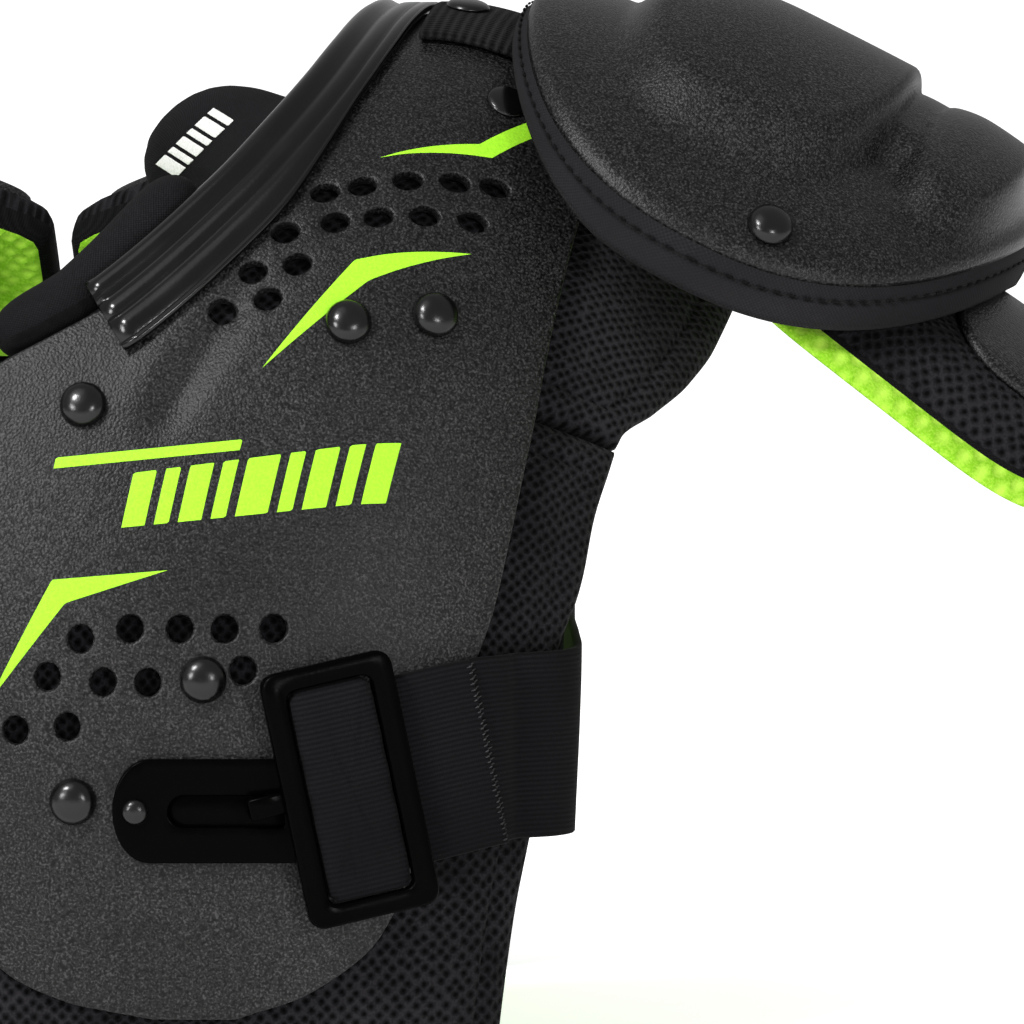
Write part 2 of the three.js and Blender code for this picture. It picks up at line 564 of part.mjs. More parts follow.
/** Buckle frame: a rounded ring with a tongue that drops into the slot of the hook plate. */
function buckleFrame() {
  const rounded = (target, width, height, radius) => {
    const [x, y] = [width / 2, height / 2];
    target.moveTo(-x + radius, -y);
    target.lineTo(x - radius, -y);
    target.quadraticCurveTo(x, -y, x, -y + radius);
    target.lineTo(x, y - radius);
    target.quadraticCurveTo(x, y, x - radius, y);
    target.lineTo(-x + radius, y);
    target.quadraticCurveTo(-x, y, -x, y - radius);
    target.lineTo(-x, -y + radius);
    target.quadraticCurveTo(-x, -y, -x + radius, -y);
    return target;
  };
  const outline = rounded(new THREE.Shape(), FRAME_WIDTH, FRAME_HEIGHT, 3);
  outline.holes.push(rounded(new THREE.Path(), FRAME_WIDTH - 2 * FRAME_BAR, FRAME_HEIGHT - 2 * FRAME_BAR + 1, 2));
  const ring = new THREE.ExtrudeGeometry(outline, { depth: FRAME_WALL, bevelEnabled: false, curveSegments: 2 });
  const tongue = new THREE.BoxGeometry(9, 4.4, 2);
  tongue.translate(-FRAME_WIDTH / 2 - 2.5, 0.4, 1);
  const tip = new THREE.BoxGeometry(3, 4.4, 3.4);
  tip.translate(-FRAME_WIDTH / 2 - 5.4, 0.4, -0.7);
  return fromSolid(toSolid(ring).add(toSolid(tongue)).add(toSolid(tip)));
}

/** Hook plate: a flat bar with a round end and a slot. */
function hookPlate() {
  const half = HOOK_PLATE_HEIGHT / 2;
  const middle = (HOOK_PLATE_FROM + HOOK_PLATE_TO) / 2;
  const outline = new THREE.Shape();
  outline.moveTo(HOOK_PLATE_TO - middle, -half);
  outline.lineTo(HOOK_PLATE_TO - middle, half);
  outline.lineTo(HOOK_PLATE_FROM - middle + 0.7 * half, half);
  outline.absellipse(HOOK_PLATE_FROM - middle + 0.7 * half, 0, 0.7 * half, half, PI / 2, 3 * PI / 2, false);
  const slot = new THREE.Path();
  const slotHalf = SLOT_HEIGHT / 2;
  slot.moveTo(SLOT_FROM - middle + slotHalf, -slotHalf);
  slot.lineTo(SLOT_TO - middle, -slotHalf);
  slot.lineTo(SLOT_TO - middle, slotHalf);
  slot.lineTo(SLOT_FROM - middle + slotHalf, slotHalf);
  slot.absarc(SLOT_FROM - middle + slotHalf, 0, slotHalf, PI / 2, 3 * PI / 2, false);
  outline.holes.push(slot);
  return new THREE.ExtrudeGeometry(outline, { depth: HOOK_PLATE_WALL, bevelEnabled: false, curveSegments: 6 });
}

/** Bridge over both arches with its four rivet heads, at the front (-1) or the back (+1). */
function bridge(facing, fromTurn, toTurn) {
  const turns = spread(facing * fromTurn, facing * toTurn, 3);
  const low = PLATE_WALL + LAYER_GAP;
  const grid = (height) => turns.map((turn) => spread(-BRIDGE_HALF_WIDTH, BRIDGE_HALF_WIDTH, 4)
    .map((rib) => skin(rib, turn, height)));
  let body = toSolid(slab(grid(low + BRIDGE_WALL), grid(low)));
  for (const rib of [-SPAN_RIB, SPAN_RIB]) {
    for (const share of [0.2, 0.8]) {
      const turn = facing * lerp(fromTurn, toTurn, share);
      const head = rivetHead(6, 3, 6);
      head.applyQuaternion(seat(rib, turn));
      head.translate(...skin(rib, turn, low + BRIDGE_WALL - 1).toArray());
      body = body.add(toSolid(head));
    }
  }
  return fromSolid(body);
}

const part = new THREE.Group();

/** Named mesh at a place, with a turn. */
function piece(parent, name, geometry, material, place = [0, 0, 0], turned = null) {
  const mesh = new THREE.Mesh(geometry, material);
  mesh.name = name;
  mesh.position.set(...place);
  if (turned) mesh.quaternion.copy(turned);
  parent.add(mesh);
  return mesh;
}

const shapes = {
  arch_plate: [archPlate(), plastic],
  shoulder_foam: [shoulderFoam(), foam],
  chest_foam: [chestFoam(), foam],
  back_foam: [backFoam(), foam],
  neck_trim: [neckTrim(), vinyl],
  collar_roll: [collarRoll(), cloth],
  neck_roll: [neckRoll(), cloth],
  shoulder_webbing: [shoulderWebbing(), webbing],
  side_strap: [sideStrap(), elastic],
};
const epauletShapes = { epaulet_shell: [epauletShell(), plastic], epaulet_pad: [epauletPad(), cloth] };
const sleeveShapes = { sleeve_pad: [sleevePad(), foam], sleeve_cap: [sleeveCap(), plastic] };

const hookMiddle = (HOOK_PLATE_FROM + HOOK_PLATE_TO) / 2;
const flats = {
  buckle_frame: [buckleFrame(), gloss, FRAME_RIB, turnAtHeight(FRAME_Z), FRAME_LIFT, STRAP_LEAN],
  hook_plate: [closed(hookPlate()), gloss, hookMiddle, turnAtHeight(HOOK_PLATE_Z), PLATE_WALL + SEAT_GAP, 0],
};

const heads = {
  chest_rivet_1: [33.2, -60.6], chest_rivet_2: [81.1, -53.2], chest_rivet_3: [96.1, -51.7],
  chest_rivet_4: [59.7, -82.3], chest_rivet_5: [34.5, -91.6], back_rivet: [89, 90.5],
};

for (const [side, label] of [[1, 'left'], [-1, 'right']]) {
  const handed = (geometry) => (side > 0 ? geometry : mirrored(geometry));
  const flip = (quaternion) => (side > 0 ? quaternion
    : new THREE.Quaternion(quaternion.x, -quaternion.y, -quaternion.z, quaternion.w));
  const reflect = ([x, y, z]) => [side * x, y, z];

  for (const [name, [geometry, material]] of Object.entries(shapes)) {
    piece(part, `${name}_${label}`, handed(geometry), material);
  }
  for (const [name, [geometry, material, rib, turn, lift, lean]] of Object.entries(flats)) {
    piece(part, `${name}_${label}`, handed(geometry), material, reflect(skin(rib, turn, lift).toArray()),
      flip(seat(rib, turn, lean)));
  }
  for (const [name, [rib, turn]] of Object.entries(heads)) {
    const strap = name === 'back_rivet' ? LAYER_GAP + STRAP_WALL : 0;
    piece(part, `${name}_${label}`, handed(rivetHead(RIVET_DIAMETER, RIVET_DOME)), gloss,
      reflect(skin(rib, turn, PLATE_WALL + SEAT_GAP + strap).toArray()), flip(seat(rib, turn)));
  }
  const hookTurn = turnAtHeight(HOOK_PLATE_Z);
  const hookSeat = seat(hookMiddle, hookTurn);
  const hookRivet = new THREE.Vector3(46.5 - hookMiddle, 0, HOOK_PLATE_WALL + SEAT_GAP).applyQuaternion(hookSeat)
    .add(skin(hookMiddle, hookTurn, PLATE_WALL + SEAT_GAP));
  piece(part, `hook_plate_rivet_${label}`, handed(rivetHead(SMALL_RIVET_DIAMETER, SMALL_RIVET_DOME)), gloss,
    reflect(hookRivet.toArray()), flip(hookSeat));
  piece(part, `shoulder_disc_${label}`, handed(rivetHead(WEBBING_DISC_DIAMETER, WEBBING_DISC_DOME)), gloss,
    reflect(skin(99.5, -24.4, PLATE_WALL + SEAT_GAP).toArray()), flip(seat(99.5, -24.4)));
  piece(part, `webbing_washer_${label}`, handed(rivetHead(WASHER_DIAMETER, WASHER_DOME)), gloss,
    reflect(skin(87.4, -6.1, PLATE_WALL + LAYER_GAP + WEBBING_WALL + SEAT_GAP).toArray()),
    flip(seat(87.4, -6.1)));

  const epaulet = new THREE.Group();
  epaulet.position.set(...reflect(EPAULET_CENTRE));
  epaulet.rotation.y = side * radians(EPAULET_SLOPE);
  for (const [name, [geometry, material]] of Object.entries(epauletShapes)) {
    piece(epaulet, `${name}_${label}`, handed(geometry), material);
  }
  for (const [facing, end] of [[-1, 'front'], [1, 'back']]) {
    const { u, v } = EPAULET_RIVET;
    const step = 0.5;
    const normal = new THREE.Vector3(
      (epauletHeight(u - step, facing * v) - epauletHeight(u + step, facing * v)) / (2 * step),
      (epauletHeight(u, facing * v - step) - epauletHeight(u, facing * v + step)) / (2 * step), 1).normalize();
    normal.x *= side;
    const turned = new THREE.Quaternion().setFromUnitVectors(new THREE.Vector3(0, 0, 1), normal);
    const seatPoint = new THREE.Vector3(side * u, facing * v, epauletHeight(u, facing * v))
      .addScaledVector(normal, 2 * SEAT_GAP);
    piece(epaulet, `epaulet_rivet_${end}_${label}`, rivetHead(RIVET_DIAMETER, RIVET_DOME), gloss,
      seatPoint.toArray(), turned);
  }
  part.add(epaulet);

  const sleeve = new THREE.Group();
  sleeve.position.set(...reflect(SLEEVE_ROOT));
  sleeve.rotation.y = side * radians(SLEEVE_SLOPE);
  for (const [name, [geometry, material]] of Object.entries(sleeveShapes)) {
    piece(sleeve, `${name}_${label}`, handed(geometry), material);
  }
  part.add(sleeve);
}

piece(part, 'sternum_bridge', bridge(-1, 68, 90), plastic);
piece(part, 'spine_bridge', bridge(1, 56, 90), plastic);

export default part;
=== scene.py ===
"""Youth football shoulder pad: the finished look of every piece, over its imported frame.

Sizes are in millimetres until a mesh is made, which is in metres. +Z is up, the chest faces -Y and the
wearer's left is +X. Left pieces are built first and the right ones are their mirror images.
"""
from __future__ import annotations

import json
import logging
import math
from dataclasses import dataclass, field
from enum import Enum
from typing import Callable, Sequence

import bpy
import numpy as np
from mathutils import Matrix, Vector
from mathutils.bvhtree import BVHTree
from mathutils.geometry import delaunay_2d_cdt

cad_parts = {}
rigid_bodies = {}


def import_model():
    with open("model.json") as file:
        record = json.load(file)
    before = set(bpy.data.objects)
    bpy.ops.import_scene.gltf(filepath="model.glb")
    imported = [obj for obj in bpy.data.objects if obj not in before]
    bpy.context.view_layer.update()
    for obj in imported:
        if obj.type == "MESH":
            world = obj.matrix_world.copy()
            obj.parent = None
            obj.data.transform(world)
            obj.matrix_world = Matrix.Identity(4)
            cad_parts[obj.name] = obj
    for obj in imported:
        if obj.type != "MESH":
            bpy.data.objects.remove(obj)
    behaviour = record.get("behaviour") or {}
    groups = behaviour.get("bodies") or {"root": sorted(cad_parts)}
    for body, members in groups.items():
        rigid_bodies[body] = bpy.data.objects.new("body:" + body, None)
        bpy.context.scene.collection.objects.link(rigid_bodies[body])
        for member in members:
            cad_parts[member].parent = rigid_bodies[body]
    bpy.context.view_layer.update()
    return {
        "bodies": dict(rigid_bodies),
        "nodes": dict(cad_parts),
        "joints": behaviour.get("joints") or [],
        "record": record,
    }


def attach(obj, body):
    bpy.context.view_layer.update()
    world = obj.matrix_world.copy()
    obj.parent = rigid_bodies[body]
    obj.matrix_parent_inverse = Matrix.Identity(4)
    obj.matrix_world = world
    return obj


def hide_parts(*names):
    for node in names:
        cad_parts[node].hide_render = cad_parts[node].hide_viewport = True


LOG = logging.getLogger("shoulder_pad")
MM = 0.001
SEED = 7
Array = np.ndarray
Piece = bpy.types.Object
Socket = bpy.types.NodeSocket
Place = Callable[[Array, Array, Array], Array]


class Side(Enum):
    """The half of the pad that a piece belongs to."""

    LEFT = 1
    RIGHT = -1

    @property
    def label(self) -> str:
        """Ending of the names of this side's pieces."""
        return self.name.lower()


class Facing(Enum):
    """Front or back of the pad."""

    FRONT = -1
    BACK = 1


class Weave(Enum):
    """How a cloth's surface is made."""

    KNIT = "knit"
    PLAIN = "plain"
    RIBBED = "ribbed"
    ELASTIC = "elastic"


# Shapes


class Through:
    """Smooth curve through pairs of (position, value) that never overshoots them."""

    def __init__(self, pairs: Sequence[tuple[float, float]]) -> None:
        """Works out the slope at each pair.

        Args:
            pairs: Positions in rising order with the value at each.
        """
        self.at = np.array([p for p, _ in pairs], float)
        self.value = np.array([v for _, v in pairs], float)
        steps = np.diff(self.at)
        slopes = np.diff(self.value) / steps
        inner = np.where(slopes[:-1] * slopes[1:] > 0,
                         2 * slopes[:-1] * slopes[1:] / np.where(slopes[:-1] + slopes[1:] == 0, 1,
                                                                 slopes[:-1] + slopes[1:]), 0)
        self.slope = np.concatenate([[slopes[0]], inner, [slopes[-1]]])

    def __call__(self, position: Array | float) -> Array:
        """Value of the curve.

        Args:
            position: One position or an array of them.

        Returns:
            The value at each position, held constant past both ends.
        """
        x = np.clip(np.asarray(position, float), self.at[0], self.at[-1])
        i = np.clip(np.searchsorted(self.at, x, side="right") - 1, 0, len(self.at) - 2)
        gap = self.at[i + 1] - self.at[i]
        t = (x - self.at[i]) / gap
        return ((1 + 2 * t) * (1 - t) ** 2 * self.value[i] + t * (1 - t) ** 2 * gap * self.slope[i]
                + t * t * (3 - 2 * t) * self.value[i + 1] + t * t * (t - 1) * gap * self.slope[i + 1])


def smooth(value: Array | float, low: float, high: float) -> Array:
    """Smooth step from 0 at low to 1 at high.

    Args:
        value: Where the step is read.
        low: End of the stretch at 0.
        high: Start of the stretch at 1.

    Returns:
        The step's height.
    """
    t = np.clip((np.asarray(value, float) - low) / (high - low), 0, 1)
    return t * t * (3 - 2 * t)


def ripple(x: Array, y: Array, length: float, phase: float = 0.0) -> Array:
    """Soft uneven swell of a stuffed surface, between about -1 and 1.

    Args:
        x: First place across the surface.
        y: Second place across the surface.
        length: Typical length of one swell.
        phase: Shifts the pattern.

    Returns:
        Height of the swell at each place.
    """
    k = 2 * math.pi / length
    return (np.sin(k * x + 1.3 * np.sin(0.7 * k * y + phase)) * np.cos(0.83 * k * y + phase * 1.7)
            + 0.5 * np.sin(1.9 * k * y + 0.9 * k * x + 2.1 + phase)) / 1.5


def unit(vectors: Array) -> Array:
    """Vectors of length 1 along the given ones."""
    return vectors / np.linalg.norm(vectors, axis=-1, keepdims=True)


def lengths_along(points: Array) -> Array:
    """Length along a line at each of its points."""
    return np.r_[0, np.cumsum(np.linalg.norm(np.diff(points, axis=0), axis=1))]


def rounding(gap: Array, radius: float, power: float = 2.0) -> Array:
    """Share of the full wall near a rounded edge.

    Args:
        gap: Distance from the edge.
        radius: Distance over which the wall grows.
        power: 2 for a round edge, more for a squarer one.

    Returns:
        The share at each place, from 0 at the edge to 1.
    """
    return np.clip(1 - np.clip(1 - gap / radius, 0, 1) ** power, 0, 1) ** (1 / power)


def superellipse(turns: Array, half_u: float, half_v: float, power: float) -> tuple[Array, Array]:
    """Places round an outline between an ellipse and a rectangle.

    Args:
        turns: Angles about its middle.
        half_u: Half of its size along the first axis.
        half_v: Half of its size along the second axis.
        power: 2 for an ellipse, more for a squarer outline.

    Returns:
        Both coordinates of the places.
    """
    c, s = np.cos(turns), np.sin(turns)
    return half_u * np.sign(c) * np.abs(c) ** (2 / power), half_v * np.sign(s) * np.abs(s) ** (2 / power)


def linked(name: str, data: bpy.types.ID) -> Piece:
    """New object in the scene.

    Args:
        name: Its name.
        data: Its mesh, lamp or camera.

    Returns:
        The object.
    """
    made = bpy.data.objects.new(name, data)
    bpy.context.scene.collection.objects.link(made)
    return made


@dataclass(frozen=True)
class BodyForm:
    """The curved form that every layer of an arch follows, the same as in the solids."""

    half_width: float = 138.0
    half_depth: float = 100.0
    section_power: float = 3.0
    round_to: float = 112.0
    crest_height: float = 208.0
    arch_rise: float = 148.0
    shoulder_drop: float = 24.0
    drop_from: float = 84.0
    drop_span: float = 44.0
    drop_power: float = 1.7
    flare: float = 0.14

    @property
    def leg_rate(self) -> float:
        """Length of a leg for each degree past 90."""
        return self.arch_rise * math.pi / 180

    @property
    def foot_turn(self) -> float:
        """Turn of the legs' flat feet."""
        return 90 + (self.crest_height - self.arch_rise) / self.leg_rate

    def foot(self, rib: Array) -> tuple[Array, Array]:
        """Plan position of a rib's foot.

        Args:
            rib: Ribs by their distance from the middle.

        Returns:
            The distance across and the depth of each.
        """
        rib = np.asarray(rib, float)
        power = self.section_power
        reach = np.minimum(np.abs(rib), self.round_to) / self.half_width
        depth = self.half_depth * (1 - reach ** power) ** (1 / power)
        end = self.round_to / self.half_width
        edge = (1 - end ** power) ** (1 / power)
        slope = -(self.half_depth / self.half_width) * (end / edge) ** (power - 1)
        run = np.maximum(np.abs(rib) - self.round_to, 0) / math.sqrt(1 + slope * slope)
        return np.sign(rib) * (reach * self.half_width + run), depth + slope * run

    def point(self, rib: Array, turn: Array) -> Array:
        """Points of the form.

        Args:
            rib: Ribs by their distance from the middle.
            turn: Degrees from the crest, negative towards the front.

        Returns:
            An array of points.
        """
        x, depth = self.foot(rib)
        turn = np.asarray(turn, float)
        past = np.maximum(np.abs(x) - self.drop_from, 0) / self.drop_span
        arch = np.radians(np.clip(turn, -90, 90))
        leg = np.maximum(np.abs(turn) - 90, 0)
        rise = self.arch_rise - self.shoulder_drop * past ** self.drop_power
        height = self.crest_height - self.arch_rise + rise * np.cos(arch) - leg * self.leg_rate
        return np.stack([x * (1 + self.flare * np.cos(arch) ** 2), depth * np.sin(arch), height], -1)

    def normal(self, rib: Array, turn: Array) -> Array:
        """Outward normals of the form.

        Args:
            rib: Ribs by their distance from the middle.
            turn: Degrees from the crest.

        Returns:
            An array of unit vectors.
        """
        rib, turn = np.asarray(rib, float), np.asarray(turn, float)
        across = self.point(rib + 0.05, turn) - self.point(rib - 0.05, turn)
        along = self.point(rib, turn + 0.05) - self.point(rib, turn - 0.05)
        return unit(np.cross(across, along))

    def skin(self, rib: Array, turn: Array, height: Array | float) -> Array:
        """Points at a height over the form.

        Args:
            rib: Ribs by their distance from the middle.
            turn: Degrees from the crest.
            height: Height over the form.

        Returns:
            An array of points.
        """
        return self.point(rib, turn) + np.asarray(height, float)[..., None] * self.normal(rib, turn)

    def seat(self, rib: float, turn: float, height: float, lean: float = 0.0) -> Matrix:
        """Placement of a flat piece that lies on the form.

        Args:
            rib: Rib of the piece's middle.
            turn: Turn of the piece's middle.
            height: Height over the form.
            lean: Degrees that the piece is turned about its normal.

        Returns:
            A matrix whose +Z is the form's normal and whose +X runs across the body, in millimetres.
        """
        normal = Vector(self.normal(rib, turn))
        across = Vector((0, 0, 1)).cross(normal).normalized()
        if across.x < 0:
            across.negate()
        up = normal.cross(across).normalized()
        turned = Matrix((across, up, normal)).transposed().to_4x4()
        return (Matrix.Translation(Vector(self.skin(rib, turn, height))) @ turned
                @ Matrix.Rotation(math.radians(lean), 4, "Z"))

    def turn_at(self, z: float) -> float:
        """Turn of the front of a rib at a height z."""
        leg = self.crest_height - self.arch_rise - z
        return -90 - leg / self.leg_rate if leg > 0 else -math.degrees(math.acos(-leg / self.arch_rise))


@dataclass(frozen=True)
class ArchOutline:
    """Edges of the arch plate and of the foam under it, as ribs at each turn."""

    centre_rib: float = 2.0
    foam_lip: float = 6.0
    inner: Through = field(default_factory=lambda: Through([
        (-108.4, 50), (-107.1, 32.7), (-104.6, 19.8), (-98, 8), (-60, 8), (-57, 16), (-54, 27), (-51, 37),
        (-41.3, 54.3), (-36, 60.6), (-28, 67.1), (-22.8, 69.8), (-14.8, 72.2), (0, 74.1), (17, 71.5),
        (25, 65.5), (31.5, 52), (35.5, 36), (38.5, 22), (43, 8), (98, 8), (104.6, 19.8), (107.1, 32.7),
        (108.4, 50)]))
    outer: Through = field(default_factory=lambda: Through([
        (-108.4, 66), (-106.5, 80), (-102.4, 93), (-96, 100), (-80, 110.5), (-74.5, 113.6), (-66, 116),
        (-57, 117.2), (-37, 117.3), (-20, 121), (0, 125), (20, 121), (37, 117.3), (57, 116.5), (66, 111.5),
        (74.5, 103), (80, 99.5), (96, 95.5), (102.4, 89), (106.5, 78), (108.4, 66)]))
    foam_edge: Through = field(default_factory=lambda: Through([
        (-113.3, 118.8), (-109.6, 120), (-101, 123.5), (-96, 126.5), (-90, 130), (-82, 130.5), (-78, 131.8),
        (-74, 134), (-70.5, 135.5), (-65.7, 137), (-61, 138.7), (-56.2, 140), (-51.5, 145.7), (-45.3, 150.9),
        (-38, 153.5), (-30, 154), (0, 150), (30, 148), (41, 145), (47.6, 142), (53, 137), (57.6, 131.5),
        (66.5, 119.5), (75, 111), (85, 106.5), (97, 104.5), (104, 99), (113.3, 94)]))

    def plate(self, turn: Array) -> tuple[Array, Array]:
        """Inner and outer rib of the plate at each turn."""
        return self.inner(turn), self.outer(turn)

    def foam(self, turn: Array) -> tuple[Array, Array]:
        """Inner and outer rib of the foam at each turn."""
        inner = np.where(np.abs(turn) > 60, self.centre_rib, self.inner(turn) - self.foam_lip)
        return np.maximum(inner, self.centre_rib), self.foam_edge(turn)


FORM = BodyForm()
OUTLINE = ArchOutline()


@dataclass
class Shape:
    """Vertices in millimetres with their faces, surface coordinates and finish numbers."""

    vertices: Array
    faces: list[tuple[int, ...]]
    uv: Array
    finish: list[int] = field(default_factory=list)

    def placed(self, matrix: Matrix) -> "Shape":
        """Copy of the shape moved by a matrix."""
        turned = np.array(matrix)
        return Shape(self.vertices @ turned[:3, :3].T + turned[:3, 3], self.faces, self.uv, self.finish)

    def joined(self, other: "Shape", finish: int = 0) -> "Shape":
        """Shape with another added to it.

        Args:
            other: The shape to add.
            finish: Number of the added faces' finish.

        Returns:
            A new shape.
        """
        shift = len(self.vertices)
        faces = self.faces + [tuple(i + shift for i in face) for face in other.faces]
        mine = self.finish or [0] * len(self.faces)
        theirs = other.finish or [finish] * len(other.faces)
        return Shape(np.vstack([self.vertices, other.vertices]), faces, np.vstack([self.uv, other.uv]),
                     mine + theirs)

    def build(self, name: str, side: Side, finishes: Sequence["Finish"]) -> Piece:
        """Makes the Blender object of one side.

        Args:
            name: Stem of the piece's name.
            side: The half that it belongs to.
            finishes: Its finishes, in the order of the finish numbers.

        Returns:
            The new object, which rides on the root body.
        """
        points = self.vertices * MM
        faces = self.faces
        if side is Side.RIGHT:
            points = points * np.array([-1.0, 1.0, 1.0])
            faces = [face[::-1] for face in faces]
        mesh = bpy.data.meshes.new(f"{name}_look_{side.label}")
        mesh.from_pydata(points.tolist(), [], faces)
        layer = mesh.uv_layers.new(name="surface")
        loops = np.zeros(len(mesh.loops), int)
        mesh.loops.foreach_get("vertex_index", loops)
        layer.data.foreach_set("uv", self.uv[loops].astype(np.float32).ravel())
        mesh.polygons.foreach_set("use_smooth", [True] * len(mesh.polygons))
        for finish in finishes:
            mesh.materials.append(finish.material())
        if self.finish:
            mesh.polygons.foreach_set("material_index", self.finish)
        mesh.validate()
        mesh.update()
        piece = linked(mesh.name, mesh)
        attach(piece, "root")
        return piece


def grid_quads(rows: int, columns: int, wrap: bool = False, start: int = 0) -> list[tuple[int, ...]]:
    """Quads over a grid of points.

    Args:
        rows: Rows of points.
        columns: Points in a row.
        wrap: Joins the last column to the first.
        start: Number of the first point.

    Returns:
        The faces, counter-clockwise with rows to the right and columns up.
    """
    faces = []
    for r in range(rows - 1):
        for c in range(columns if wrap else columns - 1):
            d = (c + 1) % columns
            faces.append((start + r * columns + c, start + (r + 1) * columns + c,
                          start + (r + 1) * columns + d, start + r * columns + d))
    return faces


def cushion_faces(gap: Array) -> tuple[list[tuple[int, ...]], list[tuple[bool, float]]]:
    """Faces of a cushion, whose upper and lower grid of points share the points of their rim.

    Args:
        gap: Distance of each place of the grid from the edge.

    Returns:
        The faces, and for each whether it lies below and how near the edge it comes.
    """
    quads = grid_quads(*gap.shape)
    count, gaps = gap.size, gap.ravel()
    faces = quads + [tuple(i + count for i in face[::-1]) for face in quads]
    rim = gaps <= 1e-9
    faces = [tuple(i - count if i >= count and rim[i - count] else i for i in face) for face in faces]
    return faces, [(max(face) >= count, min(gaps[i % count] for i in face)) for face in faces]


def merged(shapes: Sequence[Shape]) -> Shape:
    """One shape made of several.

    Args:
        shapes: The shapes, in their order.

    Returns:
        The whole shape.
    """
    whole = shapes[0]
    for shape in shapes[1:]:
        whole = whole.joined(shape)
    return whole


def outward(shape: Shape) -> Shape:
    """Turns the faces of a closed shape out, by the sign of its volume.

    Args:
        shape: The closed shape.

    Returns:
        The same shape.
    """
    volume = 0.0
    points = shape.vertices
    for face in shape.faces:
        for i in range(1, len(face) - 1):
            a, b, c = points[face[0]], points[face[i]], points[face[i + 1]]
            volume += float(np.dot(a, np.cross(b, c)))
    if volume < 0:
        shape.faces = [face[::-1] for face in shape.faces]
    return shape


def tube(rings: Array, uv: Array) -> Shape:
    """Closed tube through rings of points, its ends closed by flat fans.

    Args:
        rings: Points as (ring, place, 3).
        uv: Surface coordinates as (ring, place, 2).

    Returns:
        The shape.
    """
    count, around = rings.shape[:2]
    faces = grid_quads(count, around, wrap=True)
    last = (count - 1) * around
    points = np.vstack([rings.reshape(-1, 3), rings[0].mean(0)[None], rings[-1].mean(0)[None]])
    places = np.vstack([uv.reshape(-1, 2), uv[0].mean(0)[None], uv[-1].mean(0)[None]])
    first, final = count * around, count * around + 1
    for i in range(around):
        j = (i + 1) % around
        faces.append((first, i, j))
        faces.append((final, last + j, last + i))
    return outward(Shape(points, faces, places))


def rounded_box(width: float, wall: float, corner: float, steps: int = 8) -> Array:
    """Rounded rectangle as points of (across, up), centred on its own middle.

    Args:
        width: Size across.
        wall: Size up.
        corner: Radius of its corners.
        steps: Steps of each corner.

    Returns:
        The points, counter-clockwise.
    """
    points = []
    for cx, cy, start in ((1, 1, 0), (-1, 1, 90), (-1, -1, 180), (1, -1, 270)):
        for i in range(steps + 1):
            angle = math.radians(start + 90 * i / steps)
            points.append((cx * (width / 2 - corner) + corner * math.cos(angle),
                           cy * (wall / 2 - corner) + corner * math.sin(angle)))
    return np.array(points)


def resample(loop: Array, spacing: float) -> Array:
    """Closed loop with even steps.

    Args:
        loop: Points of the loop, without a repeated end.
        spacing: Length of a step.

    Returns:
        The new points.
    """
    ring = np.vstack([loop, loop[:1]])
    lengths = lengths_along(ring)
    count = max(int(round(lengths[-1] / spacing)), 6)
    at = np.linspace(0, lengths[-1], count, endpoint=False)
    return np.stack([np.interp(at, lengths, ring[:, k]) for k in range(2)], -1)


def inside(points: Array, loop: Array) -> Array:
    """Which points lie inside a closed loop.

    Args:
        points: The points to test.
        loop: Points of the loop.

    Returns:
        One truth value for each point.
    """
    x, y = points[:, 0][:, None], points[:, 1][:, None]
    a, b = loop, np.roll(loop, -1, axis=0)
    spans = (a[:, 1] > y) != (b[:, 1] > y)
    rise = np.where(b[:, 1] == a[:, 1], 1e-12, b[:, 1] - a[:, 1])
    cross = (b[:, 0] - a[:, 0]) * (y - a[:, 1]) / rise + a[:, 0]
    return (np.sum(spans & (x < cross), axis=1) % 2) == 1


def disc_loop(centre: tuple[float, float], radius: float, count: int = 20) -> Array:
    """Circle as a clockwise loop, for a hole."""
    turns = -np.linspace(0, 2 * math.pi, count, endpoint=False)
    return np.stack([centre[0] + radius * np.cos(turns), centre[1] + radius * np.sin(turns)], -1)


